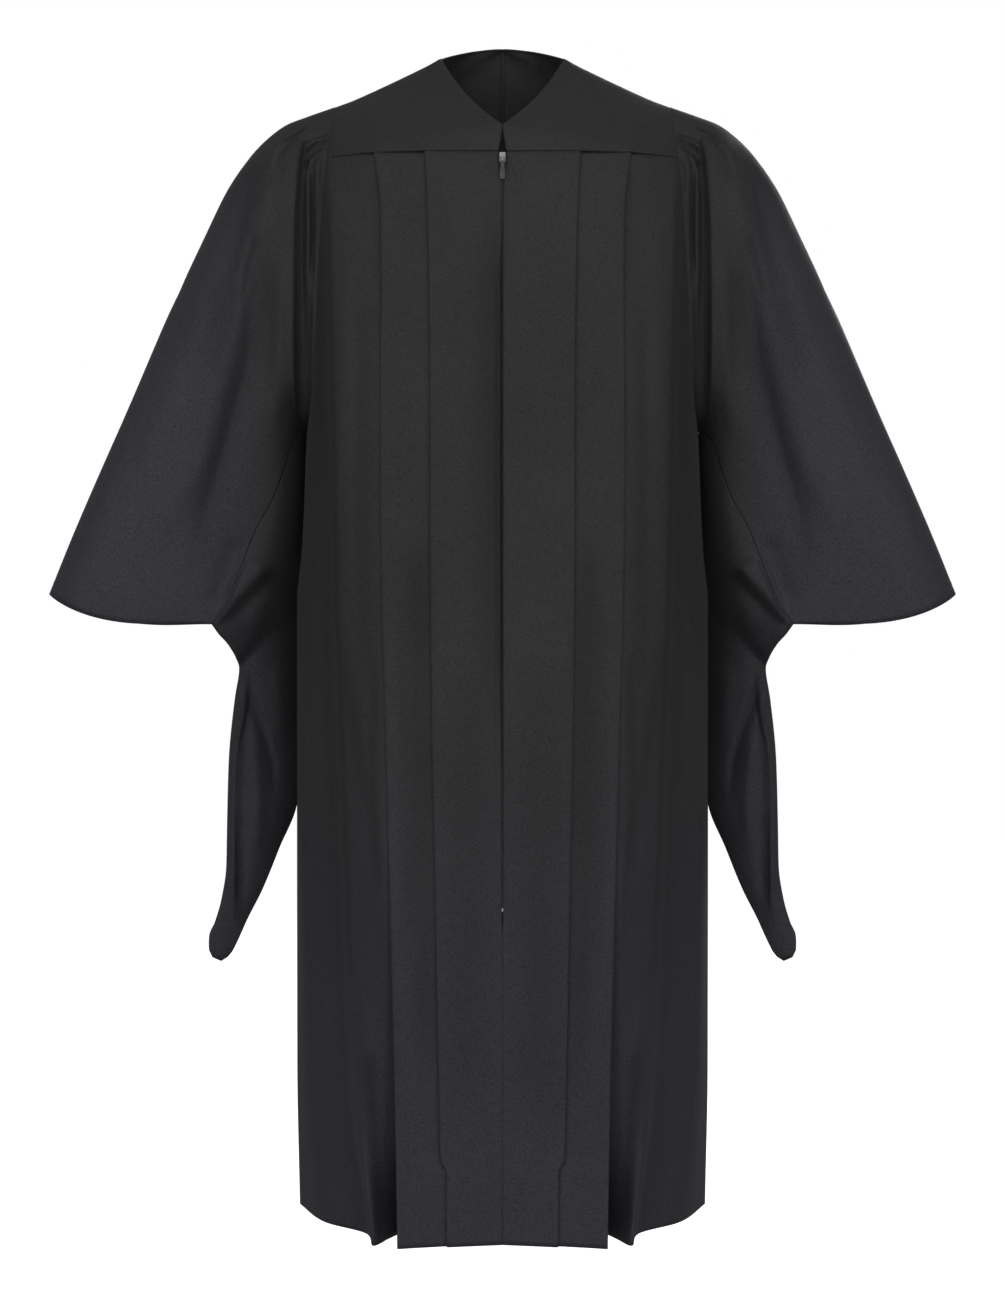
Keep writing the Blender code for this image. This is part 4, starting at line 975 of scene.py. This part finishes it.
# The cloth's darkest and lightest threads at the chest and at the hem, and the painted shade deep in a fold.
# The hem's colours are a little bluer, and also painted lighter as painted light.
CHEST_DARK, CHEST_LIGHT = (0.0110, 0.0107, 0.0110, 1), (0.0272, 0.0266, 0.0270, 1)
HEM_DARK, HEM_LIGHT = (0.0170, 0.0166, 0.0215, 1), (0.0400, 0.0395, 0.0495, 1)
PAINTED_FOLD_SHADE = (0.0030, 0.0030, 0.0032, 1)


def gown_cloth(weave, grain):
    """Matt black woven cloth: a warm black at the chest that turns a little blue toward the hem and the
    sleeves' ends, where it is also painted lighter as painted light. Painted shade darkens it where the
    mesh's shade says so."""
    made, tree, shader = new_material("gown_cloth")
    place = tree.nodes.new("ShaderNodeTexCoord")
    parts = tree.nodes.new("ShaderNodeSeparateXYZ")
    tree.links.new(place.outputs["Object"], parts.inputs[0])
    threads = placed(tree, weave, Thread=0.0006, Slub=0.35)
    specks = placed(tree, grain, Fine=500.0, Broad=5.0)
    speck = span(tree, specks.outputs["Fine"], 0.34, 0.66)
    # Painted light: lower down, and out on the sleeves and tails, the colour turns bluer and lighter. The
    # blue is the cloth's own; the lightening is painted light.
    low = span(tree, parts.outputs["Z"], -0.60, -1.35)
    beside = span(tree, math_node(tree, "ABSOLUTE", parts.outputs["X"]), 0.245, 0.38)
    bluer_and_painted_lighter = math_node(tree, "MINIMUM", math_node(tree, "ADD", low, beside), 1.0)
    dark = mixed(tree, bluer_and_painted_lighter, CHEST_DARK, HEM_DARK)
    light = mixed(tree, bluer_and_painted_lighter, CHEST_LIGHT, HEM_LIGHT)
    speckled = math_node(tree, "MULTIPLY", speck, 0.7)
    tone = math_node(tree, "MULTIPLY_ADD", threads.outputs["Shade"], 0.3, speckled)
    shade = tree.nodes.new("ShaderNodeAttribute")
    shade.attribute_name = "shade"
    # Painted shade: the mesh's shade attribute mixes the cloth's colour toward the painted fold shade.
    colour = mixed(tree, shade.outputs["Fac"], mixed(tree, tone, dark, light), PAINTED_FOLD_SHADE)
    tree.links.new(colour, shader.inputs["Base Color"])
    rough = span(tree, specks.outputs["Broad"], 0.3, 0.7, 0.62, 0.74)
    tree.links.new(rough, shader.inputs["Roughness"])
    soft = bump(tree, specks.outputs["Broad"], 0.004, 0.25)
    tree.links.new(bump(tree, threads.outputs["Height"], 0.00012, 0.5, soft), shader.inputs["Normal"])
    shader.inputs["Specular IOR Level"].default_value = 0.25
    shader.inputs["Sheen Weight"].default_value = 0.04
    shader.inputs["Sheen Roughness"].default_value = 0.4
    return made


def tape_cloth(weave):
    """The zip's woven tape, a deeper black."""
    made, tree, shader = new_material("zip_tape")
    threads = placed(tree, weave, Thread=0.0009, Slub=0.2)
    colour = mixed(tree, threads.outputs["Shade"], (0.007, 0.007, 0.008, 1), (0.016, 0.016, 0.018, 1))
    tree.links.new(colour, shader.inputs["Base Color"])
    tree.links.new(bump(tree, threads.outputs["Height"], 0.0002, 0.6), shader.inputs["Normal"])
    shader.inputs["Roughness"].default_value = 0.8
    return made


# Each hard finish: its darkest and lightest colour, how metallic it is, and its roughness from and to.
HARD_FINISHES = {
    "black_thread": ((0.014, 0.014, 0.015, 1), (0.03, 0.03, 0.031, 1), 0.0, 0.4, 0.6),
    "black_teeth": ((0.008, 0.008, 0.009, 1), (0.02, 0.02, 0.021, 1), 0.0, 0.25, 0.4),
    "polished_steel": ((0.10, 0.10, 0.098, 1), (0.24, 0.24, 0.235, 1), 1.0, 0.12, 0.3),
    "black_wire": ((0.012, 0.012, 0.013, 1), (0.035, 0.035, 0.036, 1), 0.6, 0.25, 0.4),
}


def hard_finish(name, grain):
    """Thread, moulded plastic or metal: a slightly uneven colour and roughness, and fine marks."""
    dark, light, metallic, rough_low, rough_high = HARD_FINISHES[name]
    made, tree, shader = new_material(name)
    marks = placed(tree, grain, Fine=2600.0, Broad=160.0)
    tree.links.new(mixed(tree, marks.outputs["Broad"], dark, light), shader.inputs["Base Color"])
    rough = span(tree, marks.outputs["Fine"], 0.3, 0.7, rough_low, rough_high)
    tree.links.new(rough, shader.inputs["Roughness"])
    tree.links.new(bump(tree, marks.outputs["Fine"], 0.00004, 0.3), shader.inputs["Normal"])
    shader.inputs["Metallic"].default_value = metallic
    return made


def rod_faces(stations, sides):
    """The quads of a closed rod: rings of `sides` points at each station, and its two flat ends."""
    faces = []
    for j in range(stations - 1):
        for k in range(sides):
            after = (k + 1) % sides
            faces.append((j * sides + k, j * sides + after, (j + 1) * sides + after, (j + 1) * sides + k))
    last = (stations - 1) * sides
    for k in range(1, sides - 1, 2):
        faces.append((0, k + 2, k + 1, k))
        faces.append((last, last + k, last + k + 1, last + k + 2))
    return faces


STITCH_PITCH, STITCH_LENGTH = 3.0 * MM, 2.2 * MM
STITCH_STATIONS = np.array([0, 0.3, 0.7, 1.0])
STITCH_LIFT = np.array([0.15, 0.55, 0.55, 0.15]) * MM  # above the middle of the cloth
THREAD = 0.22 * MM  # the thread's radius


def even_stitches(line, outward):
    """Short arched threads along a line on the cloth, a pitch apart: a ring of four points round the
    thread at each of four stations."""
    reached = np.concatenate([[0], np.cumsum(np.linalg.norm(np.diff(line, axis=0), axis=1))])
    starts = np.arange(0, reached[-1] - STITCH_PITCH, STITCH_PITCH)
    at = starts[:, None] + STITCH_STATIONS * STITCH_LENGTH
    place = np.stack([np.interp(at, reached, line[:, k]) for k in range(3)], axis=-1)
    up = unit(np.stack([np.interp(at, reached, outward[:, k]) for k in range(3)], axis=-1))
    onward = unit(place[:, -1:] - place[:, :1])
    sideways = unit(np.cross(onward, up))
    turns = np.arange(4) * math.pi / 2
    ring = np.cos(turns)[:, None] * up[:, :, None] + np.sin(turns)[:, None] * sideways[:, :, None]
    centre = place + up * STITCH_LIFT[:, None]
    return (centre[:, :, None] + ring * THREAD).reshape(len(starts), -1, 3)


def line_along(surface, row, inset):
    """A line at a small distance in from one edge of a grid of points, and the cloth's outward normals.

    row is 0 for the first row or -1 for the last one."""
    step = 1 if row == 0 else -1
    edge, inner = surface[row], surface[row + step]
    inwards = unit(inner - edge)
    along = np.gradient(edge, axis=0)
    return edge + inwards * inset, unit(np.cross(along, inwards))


def turned_to(outward, facing):
    """Normals turned to look along a direction, or along each row of directions."""
    return np.where((outward * facing).sum(axis=-1, keepdims=True) < 0, -outward, outward)


def turned_in(points, scale, move):
    """The sheet with one more row before its first: its allowance, tucked in behind its neighbour."""
    return np.concatenate([points[:1] * np.array(scale) + np.array(move) * MM, points])


def folded_under(points, facing, deep):
    """The sheet with its first column folded under: the edge turns inwards and runs back below the cloth.

    The fold is a half circle of 0.65 mm radius, on the side away from `facing`."""
    edge, inward = points[:, 0], unit(points[:, 2] - points[:, 0])
    outward = turned_to(unit(np.cross(np.gradient(edge, axis=0), inward)), np.array(facing, float))
    spots = [(deep, -1.3), (1.2 * MM, -1.3), (0.3 * MM, -1.05), (0, -0.65), (0.3 * MM, -0.25)]
    rows = [edge + inward * along + outward * down * MM for along, down in spots]
    return np.concatenate([np.stack(rows, axis=1), points[:, 1:]], axis=1)


def centred(vectors):
    """The vectors from their own mean."""
    return vectors - vectors.mean(axis=0)


def spaced_by_head(count):
    """Places across the sleeve, closer together where the threads spread out along the armhole."""
    wanted = np.linspace(-1, 1, 4001)
    weight = 0.4 * np.gradient(head_place(wanted), wanted) + 0.6
    reached = np.concatenate([[0], np.cumsum((weight[1:] + weight[:-1]) / 2)])
    return np.interp(np.linspace(0, reached[-1], count), reached, wanted)


def declare(piece, node):
    """The piece stands for its node and rides with the gown: the node is hidden, and the piece hangs from the
    gown's body.
    """
    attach(piece, "gown")
    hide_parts(node)


def fronts(finish, seams):
    """The two fronts, and the stitches beside the zip and above the hem."""
    levels = np.concatenate([[FRONT_TOP, FRONT_TOP + 2], np.linspace(FRONT_TOP + 4, HEM_DOWN, 205)]) * MM
    for side, name in ((-1, "right"), (1, "left")):
        points = front_surface(levels, side)
        whole = folded_under(points, (0, -1, 0), FRONT_FOLDED)
        whole = folded_under(whole[:, ::-1], (side, -1, 0), SIDE_FOLDED)[:, ::-1]
        whole = turned_in(whole, (1, 1, 1), (0, 1.3, 4))
        seen = np.stack([side * whole[..., 0], -whole[..., 2]], axis=-1)
        shade = shade_at(FRONT_SHADE + (ROLL_SHADE if side < 0 else []), seen)
        piece = cloth("gown_front_" + name, whole, finish, (0, -1, 0), shade=shade)
        declare(piece, "front_" + name)
        ahead = np.array([0, -1.0, 0])
        beside = front_surface(np.linspace(TAPE_TOP + 14, TAPE_BOTTOM, 300) * MM, side)
        line = beside[:, 0] + unit(beside[:, 12] - beside[:, 0]) * ZIP_STITCH_INSET
        seams.append(even_stitches(line, np.broadcast_to(ahead, line.shape)))
        hem = front_surface(HEM_STITCH_LEVELS, side)
        line, outward = line_along(hem, 0, 0)
        seams.append(even_stitches(line, turned_to(outward, centred(line) + ahead)))


def back(finish, seams):
    """The back, and the stitches above its hem."""
    levels = np.linspace(BACK_TOP, HEM_DOWN, 172) * MM
    across = np.linspace(-1, 1, 237)
    whole = folded_under(back_surface(levels, across), (-1, 1, 0), SIDE_FOLDED)
    whole = folded_under(whole[:, ::-1], (1, 1, 0), SIDE_FOLDED)[:, ::-1]
    piece = cloth("gown_back", turned_in(whole, (1, 1, 1), (0, -1.3, 4)), finish, (0, 1, 0))
    declare(piece, "back")
    line, outward = line_along(back_surface(HEM_STITCH_LEVELS, across), 0, 0)
    seams.append(even_stitches(line, turned_to(outward, centred(line) + np.array([0, 0.1, 0]))))


def yokes(finish, seams):
    """The yoke's two halves, and the stitches along the seams and the neck."""
    turn = np.unique(np.concatenate([np.linspace(0, 1, 106), [YOKE_DIP_TURN, 0.12, NECK_POINT_TURN]]))
    share = np.concatenate([[0, 0.012, 0.03], np.linspace(0.05, 1, 58)])
    backwards = np.interp(turn, (0.3, SHOULDER_TURN, 0.62), (-1, 0, 1))
    up = np.column_stack([0 * turn, backwards, 0 * turn + 0.5])
    for side, name in ((-1, "right"), (1, "left")):
        points = yoke_surface(turn, share, side)
        whole = folded_under(points, up, NECK_FOLDED)
        piece = cloth("gown_yoke_" + name, whole, finish, facing=(0, 0, 1))
        declare(piece, "yoke_" + name)
        for row, facing in ((0, (0, -1.0, 0)), (-1, (0, 1.0, 0))):
            line, outward = line_along(points, row, YOKE_STITCH_INSET)
            seams.append(even_stitches(line, turned_to(outward, np.array(facing))))
        neck = np.swapaxes(points, 0, 1)
        line, outward = line_along(neck, 0, NECK_STITCH_INSET)
        ahead = np.column_stack([0 * turn, np.where(turn < SHOULDER_TURN, -1, 1), 0 * turn + 1])
        keep = turn < NECK_POINT_TURN
        seams.append(even_stitches(line[keep], turned_to(outward, ahead)[keep]))


def sleeves(finish, seams):
    """The two sleeves, and the stitches above the wrist's edge."""
    across = spaced_by_head(171)
    head, middle, wrist = np.linspace(0, 0.1, 72), np.linspace(0.1, 0.3, 34), np.linspace(0.3, 1, 58)
    along = np.concatenate([head, middle[1:], wrist[1:]])
    for side, name in ((-1, "right"), (1, "left")):
        points = sleeve_surface(across[None], along[:, None], side)
        whole = turned_in(points, (1, 1, 1), (-4 * side, 0, -0.5))
        shade = shade_at(SLEEVE_SHADE, np.stack([side * whole[..., 0], -whole[..., 2]], axis=-1))
        piece = cloth("gown_sleeve_" + name, whole, finish, shade=shade)
        declare(piece, "sleeve_" + name)
        line, outward = line_along(points, -1, WRIST_STITCH_INSET)
        away = np.column_stack([0 * across, np.where(across < 0, -1.0, 1.0), 0 * across])
        seams.append(even_stitches(line, turned_to(outward, away)))


def tails(finish, seams):
    """The two tails, and the stitches along their arcs."""
    around = np.sign(np.linspace(-1, 1, 105)) * np.abs(np.linspace(-1, 1, 105)) ** 1.3
    along = np.linspace(0, 1, 131)
    for side, name in ((-1, "right"), (1, "left")):
        points = tail_surface(along, around, side)
        whole = turned_in(points, (1, 0.97, 1), (0, 0, 3))
        shade = shade_at(TAIL_SHADE, np.stack([side * whole[..., 0], -whole[..., 2]], axis=-1))
        piece = cloth("gown_tail_" + name, whole, finish, shade=shade)
        declare(piece, "sleeve_tail_" + name)
        edge = np.swapaxes(points, 0, 1)
        arc = along < 0.3
        for row, facing in ((0, (0, -1.0, 0)), (-1, (0, 1.0, 0))):
            line, outward = line_along(edge, row, ARC_STITCH_INSET)
            seams.append(even_stitches(line[arc], turned_to(outward, np.array(facing))[arc]))


TOOTH_STATIONS = np.array([-1.9, -1.6, 0.2, 0.5]) * MM
TOOTH_SIZES = np.array([0.6, 1.0, 1.0, 0.6])
TOOTH_RADII = (0.42 * MM, 0.40 * MM)  # across the tooth and off the tape


def zip_pieces(tape_finish, tooth_finish):
    """The tape, and its teeth: small six-sided rods that stand on it, in turn from either side."""
    levels = np.linspace(TAPE_TOP, TAPE_BOTTOM, 150) * MM
    half = np.concatenate([[0, 2, 4, 6, 8], np.linspace(10, 15, 4)]) * MM
    x = np.concatenate([-half[:0:-1], half])
    tape = cloth("gown_zip_tape", zip_tape_surface(levels, x), tape_finish, (0, -1, 0), TAPE_THICK)
    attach(tape, "gown")
    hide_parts("zip_tape")
    downs = np.arange(TOOTH_TOP * MM, TOOTH_BOTTOM * MM, TOOTH_PITCH / 2)
    side = np.where(np.arange(len(downs)) % 2, 1.0, -1.0)
    base = zip_tape_surface(downs, np.array([0.0]))[:, 0]
    turns = np.arange(6) * math.pi / 3
    ring_z = np.cos(turns) * TOOTH_RADII[0]
    ring_y = np.sin(turns) * TOOTH_RADII[1]
    across = -side[:, None, None] * TOOTH_STATIONS[None, :, None] + 0 * turns
    off_tape = base[:, 1, None, None] - TAPE_THICK / 2 - TOOTH_RADII[1]
    points = np.stack(
        [
            across,
            off_tape + TOOTH_SIZES[:, None] * ring_y + 0 * across,
            base[:, 2, None, None] + TOOTH_SIZES[:, None] * ring_z + 0 * across,
        ],
        axis=-1,
    )
    teeth = joined("gown_zip_teeth", points.reshape(len(downs), -1, 3), rod_faces(4, 6), tooth_finish)
    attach(teeth, "gown")


def refinished(node, finish):
    """A frame node keeps its shape and takes a better finish."""
    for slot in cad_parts[node].material_slots:
        slot.material = finish


def floor():
    """A pale floor under the gown, which lights nothing."""
    size, down = 30.0, 1.49
    mesh = bpy.data.meshes.new("floor")
    corners = [(-size, -size, -down), (size, -size, -down), (size, size, -down), (-size, size, -down)]
    mesh.from_pydata(corners, [], [(0, 1, 2, 3)])
    made, tree, shader = new_material("pale_floor")
    shader.inputs["Base Color"].default_value = (0.86, 0.86, 0.86, 1)
    shader.inputs["Roughness"].default_value = 0.9
    shader.inputs["Emission Color"].default_value = (1, 1, 1, 1)
    shader.inputs["Emission Strength"].default_value = 0.85
    plane = link("floor", mesh, made)
    plane.visible_diffuse = False
    plane.visible_glossy = False


# Each softbox's place, the spot it looks at, its size, and its power in watts.
SOFTBOXES = [
    ("front_softbox", (0, -3.7, -0.3), (0, 0, -0.7), (4.0, 2.4), 58),
    ("left_softbox", (-2.4, -2.2, -0.2), (0, 0, -0.6), (1.0, 1.8), 19),
    ("right_softbox", (2.4, -2.2, -0.2), (0, 0, -0.6), (1.0, 1.8), 19),
    ("top_softbox", (0, -1.9, 2.0), (0, 0, -0.1), (2.4, 1.0), 26),
    ("back_softbox", (0.8, 2.8, 0.9), (0, 0, -0.6), (2.0, 1.6), 55),
]


def area_light(name, place, target, size, power):
    """A softbox that looks at its target."""
    light = bpy.data.lights.new(name, "AREA")
    light.shape = "RECTANGLE"
    light.size, light.size_y = size
    light.energy = power
    made = bpy.data.objects.new(name, light)
    bpy.context.scene.collection.objects.link(made)
    made.location = place
    away = np.array(place, float) - np.array(target, float)
    flat = math.hypot(away[0], away[1])
    made.rotation_euler = (math.atan2(flat, away[2]), 0, math.atan2(away[0], -away[1]))


def studio():
    """A white studio with soft light from all sides, and the camera."""
    scene = bpy.context.scene
    world = bpy.data.worlds.new("studio")
    scene.world = world
    world.use_nodes = True
    tree = world.node_tree
    background = tree.nodes["Background"]
    background.inputs["Color"].default_value = (1, 1, 1, 1)
    background.inputs["Strength"].default_value = 1.0
    fill = tree.nodes.new("ShaderNodeBackground")
    fill.inputs["Strength"].default_value = 0.22
    seen = tree.nodes.new("ShaderNodeLightPath")
    mix = tree.nodes.new("ShaderNodeMixShader")
    tree.links.new(seen.outputs["Is Camera Ray"], mix.inputs["Fac"])
    tree.links.new(fill.outputs[0], mix.inputs[1])
    tree.links.new(background.outputs[0], mix.inputs[2])
    tree.links.new(mix.outputs[0], tree.nodes["World Output"].inputs["Surface"])
    for softbox in SOFTBOXES:
        area_light(*softbox)
    scene.view_settings.view_transform = "Standard"
    camera = bpy.data.cameras.new("camera")
    camera.lens = CAMERA_LENS
    made = bpy.data.objects.new("camera", camera)
    made.location = CAMERA_PLACE
    made.rotation_euler = (math.pi / 2, 0, 0)
    scene.collection.objects.link(made)
    scene.camera = made


def main():
    """The studio, the cloth pieces with their sewing, the zip, and the finish of the metal pieces."""
    studio()
    floor()
    weave, grain = weave_group(), grain_group()
    finish = gown_cloth(weave, grain)
    seams = []
    fronts(finish, seams)
    back(finish, seams)
    yokes(finish, seams)
    sleeves(finish, seams)
    tails(finish, seams)
    thread = hard_finish("black_thread", grain)
    sewing = joined("gown_stitches", np.concatenate(seams), rod_faces(4, 4), thread)
    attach(sewing, "gown")
    zip_pieces(tape_cloth(weave), hard_finish("black_teeth", grain))
    steel = hard_finish("polished_steel", grain)
    for node in ("zip_slider", "zip_pull", "zip_stop"):
        refinished(node, steel)
    wire = hard_finish("black_wire", grain)
    for node in ("neck_hook", "neck_eye"):
        refinished(node, wire)


main()
